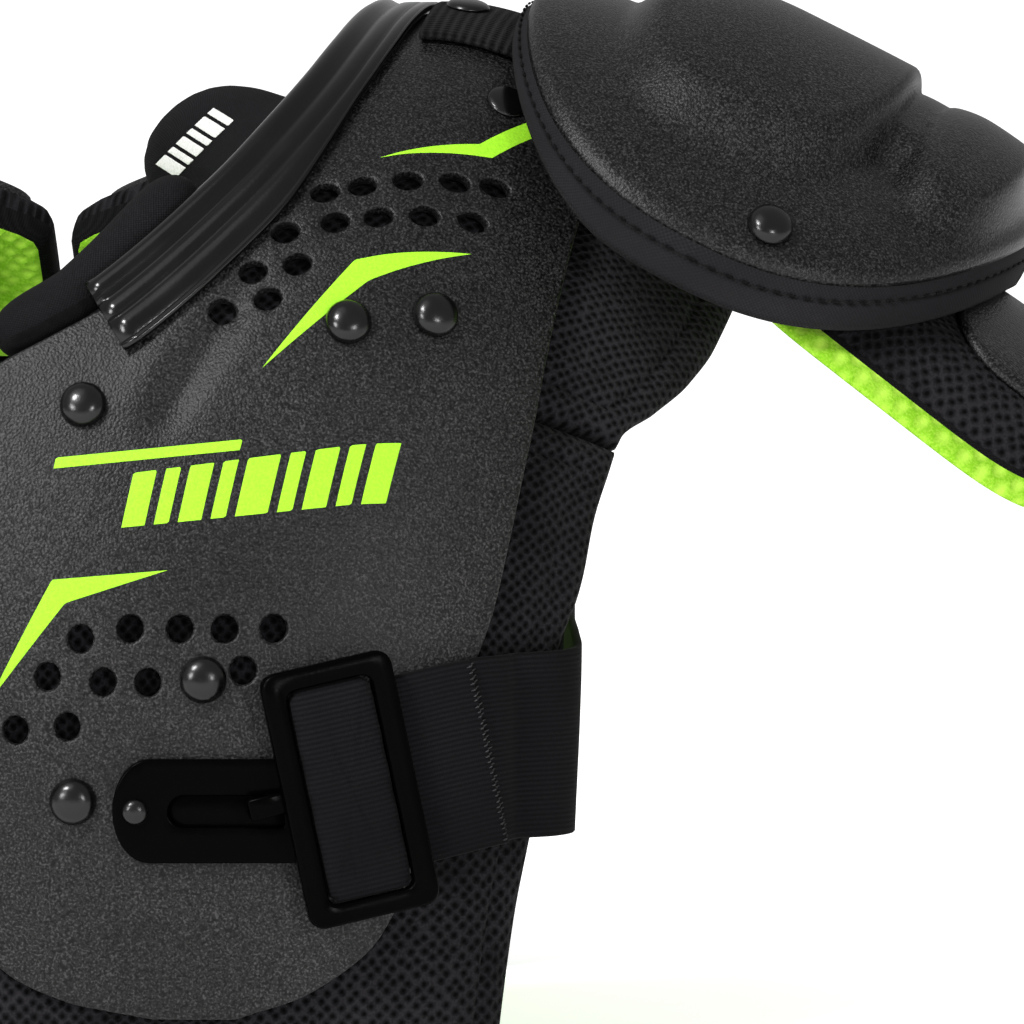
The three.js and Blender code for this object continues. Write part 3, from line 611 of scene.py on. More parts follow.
@dataclass
class PressedSheet:
    """Sheet with holes and rounded edges, cut in a flat pattern and laid on a surface."""

    outline: Array
    place: Place
    top: float
    bottom: float
    holes: list[Array] = field(default_factory=list)
    lip: float = 0.6
    spacing: float = 3.0
    edge_step: float = 1.6

    def _turned(self, loop: Array, clockwise: bool) -> Array:
        """Loop with the wanted sense."""
        area = np.sum(loop[:, 0] * np.roll(loop[:, 1], -1) - np.roll(loop[:, 0], -1) * loop[:, 1])
        return loop[::-1] if (area > 0) == clockwise else loop

    def _away(self, loop: Array) -> Array:
        """Unit vectors from the sheet into the void at each point of a loop.

        Args:
            loop: The loop, with the sheet on its left.

        Returns:
            The vectors.
        """
        along = np.roll(loop, -1, axis=0) - np.roll(loop, 1, axis=0)
        along /= np.maximum(np.linalg.norm(along, axis=1, keepdims=True), 1e-9)
        return np.stack([along[:, 1], -along[:, 0]], -1)

    def shape(self) -> Shape:
        """Builds both faces and the rounded edges.

        Returns:
            The closed shape, with the flat pattern as its surface coordinates.
        """
        loops = [self._turned(resample(self.outline, self.edge_step), False)]
        loops += [self._turned(loop, True) for loop in self.holes]
        inset = [loop - self.lip * self._away(loop) for loop in loops]
        low, high = loops[0].min(0), loops[0].max(0)
        step = self.spacing
        rows = np.arange(low[1], high[1], step * 0.866)
        grid = np.array([(x + (step / 2 if i % 2 else 0), y) for i, y in enumerate(rows)
                         for x in np.arange(low[0], high[0], step)])
        keep = inside(grid, inset[0])
        for loop in inset[1:]:
            keep &= ~inside(grid, loop)
        grid = grid[keep]
        edge = np.vstack(inset)
        far = np.ones(len(grid), bool)
        for start in range(0, len(grid), 2000):
            part = grid[start:start + 2000]
            gap = np.sqrt(((part[:, None] - edge[None]) ** 2).sum(-1)).min(1)
            far[start:start + 2000] = gap > 0.55 * min(step, 1.6 * self.edge_step)
        grid = grid[far]
        flat = np.vstack([edge, grid])
        edges, base = [], 0
        for loop in inset:
            edges += [(base + i, base + (i + 1) % len(loop)) for i in range(len(loop))]
            base += len(loop)
        found = delaunay_2d_cdt([Vector(p) for p in flat.tolist()], edges, [], 0, 1e-6)
        where = {}
        for new, olds in enumerate(found[3]):
            for old in olds:
                where[old] = new
        points = np.array([tuple(v) for v in found[0]])
        triangles = np.array([face for face in found[2]], int)
        centres = points[triangles].mean(1)
        keep = inside(centres, inset[0])
        for loop in inset[1:]:
            keep &= ~inside(centres, loop)
        triangles = triangles[keep]
        corner = points[triangles]
        area = np.cross(corner[:, 1] - corner[:, 0], corner[:, 2] - corner[:, 0])
        triangles[area < 0] = triangles[area < 0][:, ::-1]
        count = len(points)
        pattern = [points, points]
        heights = [np.full(count, self.top), np.full(count, self.bottom)]
        faces = [tuple(t) for t in triangles.tolist()]
        faces += [(c + count, b + count, a + count) for a, b, c in triangles.tolist()]
        total = 2 * count
        turns = np.radians([22.5, 45, 67.5, 90])
        profile = [(math.sin(t), self.top - self.lip * (1 - math.cos(t))) for t in turns]
        profile += [(math.sin(t), self.bottom + self.lip * (1 - math.cos(t))) for t in turns[::-1]]
        if self.top - self.bottom <= 2.2 * self.lip:
            middle = (self.top + self.bottom) / 2
            profile = [(0.7, self.top - 0.3 * (self.top - middle)), (1.0, middle),
                       (0.7, self.bottom + 0.3 * (middle - self.bottom))]
        base = 0
        for loop, rim in zip(loops, inset):
            size = len(loop)
            away = self._away(loop)
            previous = [where[base + i] for i in range(size)]
            for share, height in profile:
                ring = rim + self.lip * share * away
                pattern.append(ring)
                heights.append(np.full(size, height))
                now = list(range(total, total + size))
                total += size
                faces += [(previous[i], now[i], now[(i + 1) % size], previous[(i + 1) % size])
                          for i in range(size)]
                previous = now
            under = [where[base + i] + count for i in range(size)]
            faces += [(previous[i], under[i], under[(i + 1) % size], previous[(i + 1) % size])
                      for i in range(size)]
            base += size
        flat = np.vstack(pattern)
        height = np.concatenate(heights)
        return Shape(self.place(flat[:, 0], flat[:, 1], height), faces, flat)


# Finishes


class NodeBoard:
    """Small helper that lays the nodes of one material."""

    def __init__(self, name: str) -> None:
        """Starts a material with a principled shader.

        Args:
            name: Name of the material.
        """
        self.material = bpy.data.materials.new(name)
        self.material.use_nodes = True
        self.tree = self.material.node_tree
        self.shader = self.tree.nodes["Principled BSDF"]

    def node(self, kind: str, **values: object) -> bpy.types.Node:
        """Adds a node.

        Args:
            kind: Node type without its ShaderNode prefix.
            values: Properties of the node.

        Returns:
            The node.
        """
        made = self.tree.nodes.new(f"ShaderNode{kind}")
        for key, value in values.items():
            setattr(made, key, value)
        return made

    def join(self, source: Socket, target: Socket) -> None:
        """Links two sockets."""
        self.tree.links.new(source, target)

    def maths(self, operation: str, first: object, second: object = 0.0) -> Socket:
        """Arithmetic on two sockets or numbers.

        Args:
            operation: Name of the operation.
            first: First socket or number.
            second: Second socket or number.

        Returns:
            The result's socket.
        """
        made = self.node("Math", operation=operation)
        for index, value in enumerate((first, second)):
            if isinstance(value, (int, float)):
                made.inputs[index].default_value = value
            else:
                self.join(value, made.inputs[index])
        return made.outputs[0]

    def between(self, factor: Socket, low: tuple, high: tuple) -> Socket:
        """Colour that goes from low to high with a factor.

        Args:
            factor: Socket of the factor.
            low: Colour at 0.
            high: Colour at 1.

        Returns:
            The colour's socket.
        """
        mix = self.node("Mix", data_type="RGBA")
        mix.inputs[6].default_value = low
        mix.inputs[7].default_value = high
        self.join(factor, mix.inputs[0])
        return mix.outputs[2]

    def bump(self, height: Socket, depth: float) -> None:
        """Height as relief of the shader's normal.

        Args:
            height: Socket of the height.
            depth: Depth of the relief in metres.
        """
        made = self.node("Bump")
        made.inputs["Strength"].default_value = 1.0
        made.inputs["Distance"].default_value = depth
        self.join(height, made.inputs["Height"])
        self.join(made.outputs["Normal"], self.shader.inputs["Normal"])

    def stretch(self, value: Socket, low: float, high: float,
                to_low: float = 0.0, to_high: float = 1.0) -> Socket:
        """Value moved from one range to another, held at its ends.

        Args:
            value: Socket of the value.
            low: Start of its range.
            high: End of its range.
            to_low: Start of the new range.
            to_high: End of the new range.

        Returns:
            The moved value's socket.
        """
        made = self.node("MapRange")
        for key, number in (("From Min", low), ("From Max", high), ("To Min", to_low), ("To Max", to_high)):
            made.inputs[key].default_value = number
        self.join(value, made.inputs["Value"])
        return made.outputs["Result"]

    def noise(self, scale: float, detail: float = 3.0, where: str = "Object") -> Socket:
        """Noise in the object's own space, or over its surface coordinates.

        Args:
            scale: Fineness of the noise.
            detail: Number of finer layers.
            where: Name of the coordinates.

        Returns:
            The noise's socket.
        """
        made = self.node("TexNoise")
        made.inputs["Scale"].default_value = scale
        made.inputs["Detail"].default_value = detail
        self.join(self.node("TexCoord").outputs[where], made.inputs["Vector"])
        return made.outputs["Fac"]


def grey(level: float, warmth: float = 0.0) -> tuple[float, float, float, float]:
    """Near-neutral colour of a linear level."""
    return (level * (1 + warmth), level, level * (1 + 0.5 * warmth), 1.0)


_MADE: dict[str, bpy.types.Material] = {}


@dataclass(frozen=True)
class Finish:
    """A finish of the pad: its name in the record and how its material is made."""

    slot: str

    def material(self) -> bpy.types.Material:
        """The finish's material, made once.

        Returns:
            The material.
        """
        key = repr(self)
        if key not in _MADE:
            board = NodeBoard(f"{self.slot}_{len(_MADE)}")
            self.dress(board)
            _MADE[key] = board.material
        return _MADE[key]

    def dress(self, board: NodeBoard) -> None:
        """Lays the finish's nodes on a board."""
        raise NotImplementedError


@dataclass(frozen=True)
class GrainedPlastic(Finish):
    """Moulded plastic with a fine leathery grain."""

    low: float = 0.0015
    high: float = 0.05
    grain: float = 1600.0
    depth: float = 0.0001
    gloss: float = 0.37
    specular: float = 0.15

    def dress(self, board: NodeBoard) -> None:
        """Grain cells in the relief, with a painted highlight on their raised tips and paler, duller specks
        that are partly dust and partly painted glints.

        Args:
            board: The board of the new material.
        """
        coordinates = board.node("TexCoord").outputs["Object"]
        cells = board.node("TexVoronoi", feature="SMOOTH_F1")
        cells.inputs["Scale"].default_value = self.grain
        cells.inputs["Smoothness"].default_value = 0.35
        board.join(coordinates, cells.inputs["Vector"])
        fine = board.noise(self.grain * 1.35, 5.0)
        broad = board.noise(16.0, 3.0)
        # Painted highlight: the raised grain tips and the bright specks are mixed towards the paler colour;
        # the specks are partly dust and partly painted glints.
        tip_relief_and_highlight = board.stretch(cells.outputs["Distance"], 0.1, 0.7, 1.0, 0.0)
        dust_and_glint_speck = board.stretch(fine, 0.51, 0.67)
        lit = board.maths("ADD", board.maths("MULTIPLY", tip_relief_and_highlight, 0.3), board.maths("MULTIPLY", dust_and_glint_speck, 0.7))
        lit = board.maths("MULTIPLY", lit, board.stretch(broad, 0.3, 0.7, 0.55, 1.15))
        colour = board.between(lit, grey(self.low, 0.03), grey(self.high, 0.04))
        board.join(colour, board.shader.inputs["Base Color"])
        rough = board.stretch(board.maths("ADD", fine, broad), 0.6, 1.4, self.gloss - 0.08, self.gloss + 0.1)
        board.join(rough, board.shader.inputs["Roughness"])
        board.bump(board.maths("ADD", board.maths("MULTIPLY", tip_relief_and_highlight, 0.6), fine), self.depth)
        board.shader.inputs["Specular IOR Level"].default_value = self.specular


@dataclass(frozen=True)
class SmoothPlastic(Finish):
    """Smooth black plastic or vinyl, with faint wear in its gloss."""

    level: float = 0.009
    gloss: float = 0.26
    specular: float = 0.5
    coat: float = 0.0

    def dress(self, board: NodeBoard) -> None:
        """Even colour with a slightly uneven gloss and a very fine relief.

        Args:
            board: The board of the new material.
        """
        wear = board.noise(90.0, 4.0)
        fine = board.noise(1400.0, 2.0)
        board.join(board.between(wear, grey(self.level * 0.8), grey(self.level * 1.3)),
                   board.shader.inputs["Base Color"])
        board.join(board.stretch(wear, 0.3, 0.7, self.gloss - 0.05, self.gloss + 0.07),
                   board.shader.inputs["Roughness"])
        board.bump(fine, 0.00002)
        board.shader.inputs["Specular IOR Level"].default_value = self.specular
        board.shader.inputs["Coat Weight"].default_value = self.coat
        board.shader.inputs["Coat Roughness"].default_value = 0.12


@dataclass(frozen=True)
class Cloth(Finish):
    """Woven or knitted cloth, with its weave laid over the surface coordinates."""

    weave: Weave = Weave.PLAIN
    dark: tuple[float, float, float] = (0.006, 0.0055, 0.0065)
    light: tuple[float, float, float] = (0.03, 0.028, 0.031)
    pitch: float = 2.2
    depth: float = 0.0004
    sheen: float = 0.015
    specular: float = 0.04

    def _pattern(self, board: NodeBoard) -> Socket:
        """Height of the weave between 0 and 1.

        Args:
            board: The board of the new material.

        Returns:
            The height's socket.
        """
        uv = board.node("UVMap", uv_map="surface").outputs["UV"]
        if self.weave is Weave.KNIT:
            mapping = board.node("Mapping")
            mapping.inputs["Rotation"].default_value = (0, 0, math.radians(45))
            mapping.inputs["Scale"].default_value = (1 / self.pitch,) * 3
            board.join(uv, mapping.inputs["Vector"])
            eyes = board.node("TexVoronoi", feature="F1", voronoi_dimensions="2D")
            eyes.inputs["Scale"].default_value = 1.0
            eyes.inputs["Randomness"].default_value = 0.28
            board.join(mapping.outputs["Vector"], eyes.inputs["Vector"])
            return board.stretch(eyes.outputs["Distance"], 0.12, 0.5)
        split = board.node("SeparateXYZ")
        board.join(uv, split.inputs["Vector"])
        turn = 2 * math.pi / self.pitch
        along = board.maths("SINE", board.maths("MULTIPLY", split.outputs["X"], turn))
        across = board.maths("SINE", board.maths("MULTIPLY", split.outputs["Y"], turn))
        if self.weave is Weave.PLAIN:
            return board.stretch(board.maths("MULTIPLY", along, across), -1.0, 1.0)
        elastic = self.weave is Weave.ELASTIC
        fine = board.maths("MULTIPLY", split.outputs["X" if elastic else "Y"], turn * 2.3)
        fine = board.maths("MULTIPLY", board.maths("SINE", fine), 0.35)
        return board.stretch(board.maths("ADD", across if elastic else along, fine), -1.3, 1.3)

    def dress(self, board: NodeBoard) -> None:
        """Weave in colour and relief, with fibres and a soft sheen.

        Args:
            board: The board of the new material.
        """
        height = self._pattern(board)
        fibre = board.noise(1900.0, 3.0)
        broad = board.noise(35.0, 3.0)
        lit = board.maths("MULTIPLY", height, board.stretch(fibre, 0.3, 0.7, 0.45, 1.2))
        lit = board.maths("MULTIPLY", lit, board.stretch(broad, 0.3, 0.7, 0.5, 1.4))
        colour = board.between(lit, (*self.dark, 1.0), (*self.light, 1.0))
        board.join(colour, board.shader.inputs["Base Color"])
        board.join(board.stretch(fibre, 0.3, 0.7, 0.82, 0.98), board.shader.inputs["Roughness"])
        board.bump(board.maths("ADD", height, board.maths("MULTIPLY", fibre, 0.35)), self.depth)
        board.shader.inputs["Sheen Weight"].default_value = self.sheen
        board.shader.inputs["Sheen Roughness"].default_value = 0.4
        board.shader.inputs["Specular IOR Level"].default_value = self.specular


@dataclass(frozen=True)
class PrintedInk(Finish):
    """Ink printed over the grained plastic or on cloth."""

    colour: tuple[float, float, float] = (0.3, 0.68, 0.025)

    def dress(self, board: NodeBoard) -> None:
        """Flat colour, broken a little by the grain under it.

        Args:
            board: The board of the new material.
        """
        fine = board.noise(1900.0, 3.0)
        dull = tuple(c * 0.82 for c in self.colour)
        board.join(board.between(board.stretch(fine, 0.3, 0.62), (*dull, 1.0), (*self.colour, 1.0)),
                   board.shader.inputs["Base Color"])
        board.join(board.stretch(fine, 0.3, 0.7, 0.45, 0.6), board.shader.inputs["Roughness"])
        board.bump(fine, 0.00008)
        board.shader.inputs["Specular IOR Level"].default_value = 0.12


@dataclass(frozen=True)
class FlatStage(Finish):
    """Plain pale floor."""

    level: float = 0.97
    glow: float = 0.6

    def dress(self, board: NodeBoard) -> None:
        """Even pale colour with hardly any gloss, lit from below like a light table.

        Args:
            board: The board of the new material.
        """
        board.shader.inputs["Emission Color"].default_value = (1, 1, 1, 1)
        board.shader.inputs["Emission Strength"].default_value = self.glow
        board.join(board.between(board.noise(3.0, 1.0), grey(self.level * 0.99), grey(self.level)),
                   board.shader.inputs["Base Color"])
        board.shader.inputs["Roughness"].default_value = 0.95
        board.shader.inputs["Specular IOR Level"].default_value = 0.05


GRAIN = GrainedPlastic("grained_plastic")
GLOSS = SmoothPlastic("smooth_plastic", level=0.0006, gloss=0.22, specular=0.014)
RIVET = SmoothPlastic("rivet", level=0.0016, gloss=0.24, specular=0.3)
VINYL = SmoothPlastic("vinyl", level=0.001, gloss=0.19, specular=0.28)
KNIT = Cloth("mesh_foam", Weave.KNIT, dark=(0.0012, 0.0011, 0.0013), light=(0.0165, 0.0156, 0.0177),
             depth=0.0006)
BINDING = Cloth("roll_cloth", Weave.PLAIN, dark=(0.002, 0.002, 0.0024), light=(0.009, 0.0088, 0.0096),
                pitch=0.9, depth=0.0001)
LIME_KNIT = Cloth("lime_mesh", Weave.KNIT, dark=(0.36, 0.62, 0.06), light=(0.17, 0.4, 0.014), pitch=3.6)
PAD_CLOTH = Cloth("pad_cloth", Weave.PLAIN, dark=(0.008, 0.0076, 0.0084), light=(0.0175, 0.0167, 0.0183),
                  pitch=0.8, depth=0.00006)
ROLL_CLOTH = Cloth("roll_cloth", Weave.PLAIN, dark=(0.003, 0.003, 0.0034), light=(0.014, 0.0135, 0.015),
                   pitch=0.7, depth=0.00008)
WEBBING = Cloth("webbing", Weave.RIBBED, dark=(0.002, 0.002, 0.0022), light=(0.016, 0.016, 0.017), pitch=2.0,
                depth=0.0005)
ELASTIC = Cloth("elastic", Weave.ELASTIC, dark=(0.003, 0.0028, 0.0033), light=(0.0072, 0.0069, 0.008),
                pitch=1.0, depth=0.00006)
THREAD = Cloth("thread", Weave.PLAIN, dark=(0.015, 0.015, 0.016), light=(0.07, 0.068, 0.072), pitch=0.5,
               depth=0.00005)
LIME = PrintedInk("lime_print")
WHITE = PrintedInk("white_print", colour=(0.7, 0.7, 0.68))


# Sub-assemblies


def dome(diameter: float, rise: float, steps: int = 12, around: int = 36) -> Shape:
    """Rivet head with a rounded brim, its flat seat at z = 0.

    Args:
        diameter: Across the brim.
        rise: Height of the dome.
        steps: Rings from the brim to the top.
        around: Points in a ring.

    Returns:
        The closed shape.
    """
    radius = diameter / 2
    brim = 0.22 * rise
    profile = [(radius * 0.985, 0.0), (radius, brim * 0.5), (radius * 0.985, brim)]
    for i in range(1, steps):
        angle = math.pi / 2 * i / steps
        profile.append((radius * 0.97 * math.cos(angle) ** 0.9, brim + (rise - brim) * math.sin(angle)))
    turns = np.linspace(0, 2 * math.pi, around, endpoint=False)
    rings = np.array([[(r * math.cos(t), r * math.sin(t), z) for t in turns] for r, z in profile])
    shape = tube(rings, rings[..., :2].copy())
    top = len(shape.vertices) - 1
    shape.vertices[top] = (0, 0, rise)
    return shape


@dataclass
class ArchPlate:
    """Moulded arch from the chest over the shoulder to the back, with its holes and prints."""

    wall: float = 3.0
    hole: float = 5.6
    end_turn: float = 108.4
    across: float = 1.1      # millimetres over the form for each millimetre of rib

    holes: tuple[tuple[float, float], ...] = (
        *((rib, -39.8 + 0.8 * i) for i, rib in enumerate((72.5, 79.1, 86.9, 94.9, 101.6))),
        *((rib, -43.1 + 0.6 * i) for i, rib in enumerate((75.5, 83.1, 91.1, 99.3))),
        (66.7, -44.2), (62, -48.3), (57.4, -52), (70, -47.5), (65.6, -50.9),
        *((rib, -79.2 + (0.8 if i else 0)) for i, rib in enumerate((35.5, 45.2, 54.9, 63.5, 72.8))),
        (29.2, -82.1), (40.2, -82.5), (49, -82.5), (67.3, -81.6), (23, -86.2), (33.3, -85.9))
    chevrons: tuple[tuple[tuple[float, float], ...], ...] = (
        ((81.1, -35.6), (97.2, -31.9), (104, -26.1), (105.2, -28.4), (99.8, -33.2)),
        ((66.4, -57.3), (80.4, -47.1), (100.3, -44.8), (83.5, -49.2)),
        ((17.5, -84.2), (29.5, -74.7), (52.0, -73.9), (32.3, -76.5)))
    thin_bar: tuple[tuple[float, float], ...] = ((28.5, -65.9), (64.0, -64.3), (64.3, -63.4), (28.8, -65.0))
    bars: tuple[float, ...] = (2.2, 1.4, 2.2, 1.4, 3.0, 1.4, 2.2, 1.4, 2.2)
    bars_gap: float = 0.85
    bars_lean: float = 1.6
    bars_span: tuple[float, float] = (42.5, 93.5)
    bars_low: tuple[float, float] = (-70.6, -68.4)
    bars_high: tuple[float, float] = (-66.2, -63.3)
    valley_from: tuple[float, float] = (61.0, -50.5)
    valley_to: tuple[float, float] = (48.0, -62.5)
    valley_depth: float = 1.5
    valley_half: float = 3.2
    ridge_height: float = 0.5
    ridge_off: float = 8.0
    ridge_half: float = 5.0

    def flat(self, rib: Array, turn: Array) -> Array:
        """Flat pattern of ribs and turns, near true size."""
        return np.stack([np.asarray(rib, float) * self.across, np.asarray(turn, float) * FORM.leg_rate], -1)

    def place(self, a: Array, b: Array, height: Array) -> Array:
        """Lays the flat pattern on the body form.

        Args:
            a: First coordinate of the pattern.
            b: Second coordinate of the pattern.
            height: Height over the form.

        Returns:
            Points in millimetres.
        """
        rib, turn = a / self.across, b / FORM.leg_rate
        return FORM.skin(rib, turn, height + self.crease(rib, turn))

    def crease(self, rib: Array, turn: Array) -> Array:
        """Depth of the soft valley moulded from under the neck towards the upper rivet.

        Args:
            rib: Ribs of the places.
            turn: Turns of the places.

        Returns:
            Height that it adds at each place.
        """
        start, end = self.flat(*self.valley_from), self.flat(*self.valley_to)
        at = self.flat(rib, turn) - start
        run = end - start
        length = float(np.linalg.norm(run))
        along = at @ run / length ** 2
        off = (at[..., 0] * run[1] - at[..., 1] * run[0]) / length
        fade = smooth(along, -0.15, 0.2) * (1 - smooth(along, 0.75, 1.15))
        valley = self.valley_depth * np.exp(-(off / self.valley_half) ** 2)
        return fade * (self.ridge_height * np.exp(-((off - self.ridge_off) / self.ridge_half) ** 2) - valley)

    def outline(self) -> Array:
        """Edge of the plate in the flat pattern.

        Returns:
            The closed loop.
        """
        turns = np.linspace(-self.end_turn, self.end_turn, 1600)
        inner, outer = OUTLINE.plate(turns)
        return np.vstack([self.flat(outer, turns), self.flat(inner, turns)[::-1]])

    def build(self, side: Side) -> Piece:
        """Makes the plate of one side.

        Args:
            side: The half to build.

        Returns:
            The plate.
        """
        holes = []
        for rib, turn in self.holes:
            centre = self.flat(rib, turn)
            holes.append(disc_loop((float(centre[0]), float(centre[1])), self.hole / 2))
        sheet = PressedSheet(self.outline(), self.place, self.wall, 0.0, holes, lip=0.7)
        piece = sheet.shape().build("arch_plate", side, [GRAIN])
        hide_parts(f"arch_plate_{side.label}")
        return piece

    def print_marks(self, side: Side) -> list[Piece]:
        """Prints the lime chevrons and the row of slanted bars.

        Args:
            side: The half to print.

        Returns:
            The printed pieces.
        """
        marks = []
        for number, corners in enumerate(self.chevrons, 1):
            marks.append(self._ink(f"chevron_{number}", corners, side))
        left, right = self.bars_span
        step = (right - left - self.bars_lean) / (sum(self.bars) + self.bars_gap * (len(self.bars) - 1))
        start = left
        for number, width in enumerate(self.bars, 1):
            end = start + width * step
            corners = []
            for rib, top in ((start, False), (end, False), (end, True), (start, True)):
                share = (rib - left) / (right - left)
                ends = self.bars_high if top else self.bars_low
                corners.append((rib + (self.bars_lean if top else 0), ends[0] + (ends[1] - ends[0]) * share))
            marks.append(self._ink(f"slanted_bar_{number}", corners, side))
            start = end + self.bars_gap * step
        marks.append(self._ink("thin_bar", self.thin_bar, side))
        return marks

    def _ink(self, name: str, corners: Sequence[tuple[float, float]], side: Side) -> Piece:
        """Lays one printed mark on the plate.

        Args:
            name: Stem of its name.
            corners: Its corners as ribs and turns.
            side: The half to print.

        Returns:
            The printed piece.
        """
        sheet = PressedSheet(self.flat(*zip(*corners)), self.place, self.wall + 0.1, self.wall + 0.02,
                             lip=0.12, spacing=2.0, edge_step=0.7)
        return sheet.shape().build(name, side, [LIME])


@dataclass
class FoamBody:
    """Foam cushion in mesh cloth under an arch: shoulder, chest and back pieces."""

    top: float = -1.3
    wall: float = 14.0
    cut_turn: float = 57.5
    part_gap: float = 0.6
    edge: float = 6.0
    seam: float = 9.0
    binding: float = 1.3
    swollen: float = 1.9
    swollen_turn: float = -74.0
    swollen_span: float = 7.0
    phase_step: float = 1.7
    edge_power: float = 2.6
    across: float = 1.1
    side_rate: float = 1.12
    swell_length: float = 46.0
    stitch_half: float = 0.9
    stitch_depth: float = 0.9

    def _marks(self, length: float) -> Array:
        """Distances along a length, close together at both rounded ends.

        Args:
            length: The length.

        Returns:
            The distances, in rising order.
        """
        near = self.edge * (1 - np.cos(np.linspace(0, math.pi / 2, 7)))
        ends = np.concatenate([near, [self.seam - 1.2, self.seam - 0.5, self.seam, self.seam + 0.5,
                                      self.seam + 1.2]])
        ends = ends[ends < length / 2 - 1]
        middle = np.linspace(self.seam + 2.5, length - self.seam - 2.5, max(int(length / 3.0), 4))
        return np.concatenate([ends, middle, length - ends[::-1]])

    def shape(self, from_turn: float, to_turn: float, phase: float) -> Shape:
        """Cushion between two turns.

        Args:
            from_turn: First turn.
            to_turn: Last turn.
            phase: Shifts the unevenness of the foam.

        Returns:
            The closed shape: mesh outside, lime mesh inside and a dark binding at the edges.
        """
        length = (to_turn - from_turn) * FORM.leg_rate
        rows = self._marks(length)
        shares = self._marks(115.0) / 115.0
        turns = from_turn + rows / FORM.leg_rate
        inner, outer = OUTLINE.foam(turns)
        outer = outer + self.swollen * np.exp(-((turns - self.swollen_turn) / self.swollen_span) ** 2)
        rib = inner[:, None] + (outer - inner)[:, None] * shares[None]
        turn = np.repeat(turns[:, None], len(shares), 1)
        width = (outer - inner) * self.side_rate
        side_gap = np.minimum(shares[None] * width[:, None], (1 - shares[None]) * width[:, None])
        end_gap = np.minimum(rows, length - rows)[:, None]
        gap = np.minimum(side_gap, end_gap)
        swell = rounding(gap, self.edge, self.edge_power)
        middle = self.top - self.wall / 2
        stitch = np.exp(-((gap - self.seam) / self.stitch_half) ** 2)
        flat = np.stack([rib * self.across, turn * FORM.leg_rate], -1)
        uneven = ripple(flat[..., 0], flat[..., 1], self.swell_length, phase) * np.clip(gap / 20, 0, 1)
        inner_plate, outer_plate = OUTLINE.plate(turn)
        covered = smooth(rib, inner_plate - 4, inner_plate) * (1 - smooth(rib, outer_plate, outer_plate + 4))
        covered = covered * (np.abs(turn) < 109)
        half = self.wall / 2
        proud = (0.9 + 0.5 * uneven) * (1 - covered) * np.clip(gap / 14, 0, 1)
        over = middle + half * swell - self.stitch_depth * stitch * (1 - covered) + proud
        under = middle - half * swell + 1.0 * stitch + 0.5 * uneven * np.clip(gap / 14, 0, 1)
        points = np.vstack([FORM.skin(rib, turn, height).reshape(-1, 3) for height in (over, under)])
        uv = flat.reshape(-1, 2)
        faces, places = cushion_faces(gap)
        finish = [(2 if edge < self.binding else 1) if below else 0 for below, edge in places]
        return Shape(points, faces, np.vstack([uv, uv]), finish)

    def build(self, side: Side) -> list[Piece]:
        """Makes the three cushions of one side.

        Args:
            side: The half to build.

        Returns:
            The shoulder, chest and back cushions.
        """
        seam = self.cut_turn + self.part_gap / FORM.leg_rate
        spans = {"shoulder_foam": (-self.cut_turn, self.cut_turn), "chest_foam": (-FORM.foot_turn, -seam),
                 "back_foam": (seam, FORM.foot_turn)}
        made = []
        for number, (name, (start, end)) in enumerate(spans.items()):
            cushion = outward(self.shape(start, end, self.phase_step * number))
            piece = cushion.build(name, side, [KNIT, LIME_KNIT, BINDING])
            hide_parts(f"{name}_{side.label}")
            made.append(piece)
        return made


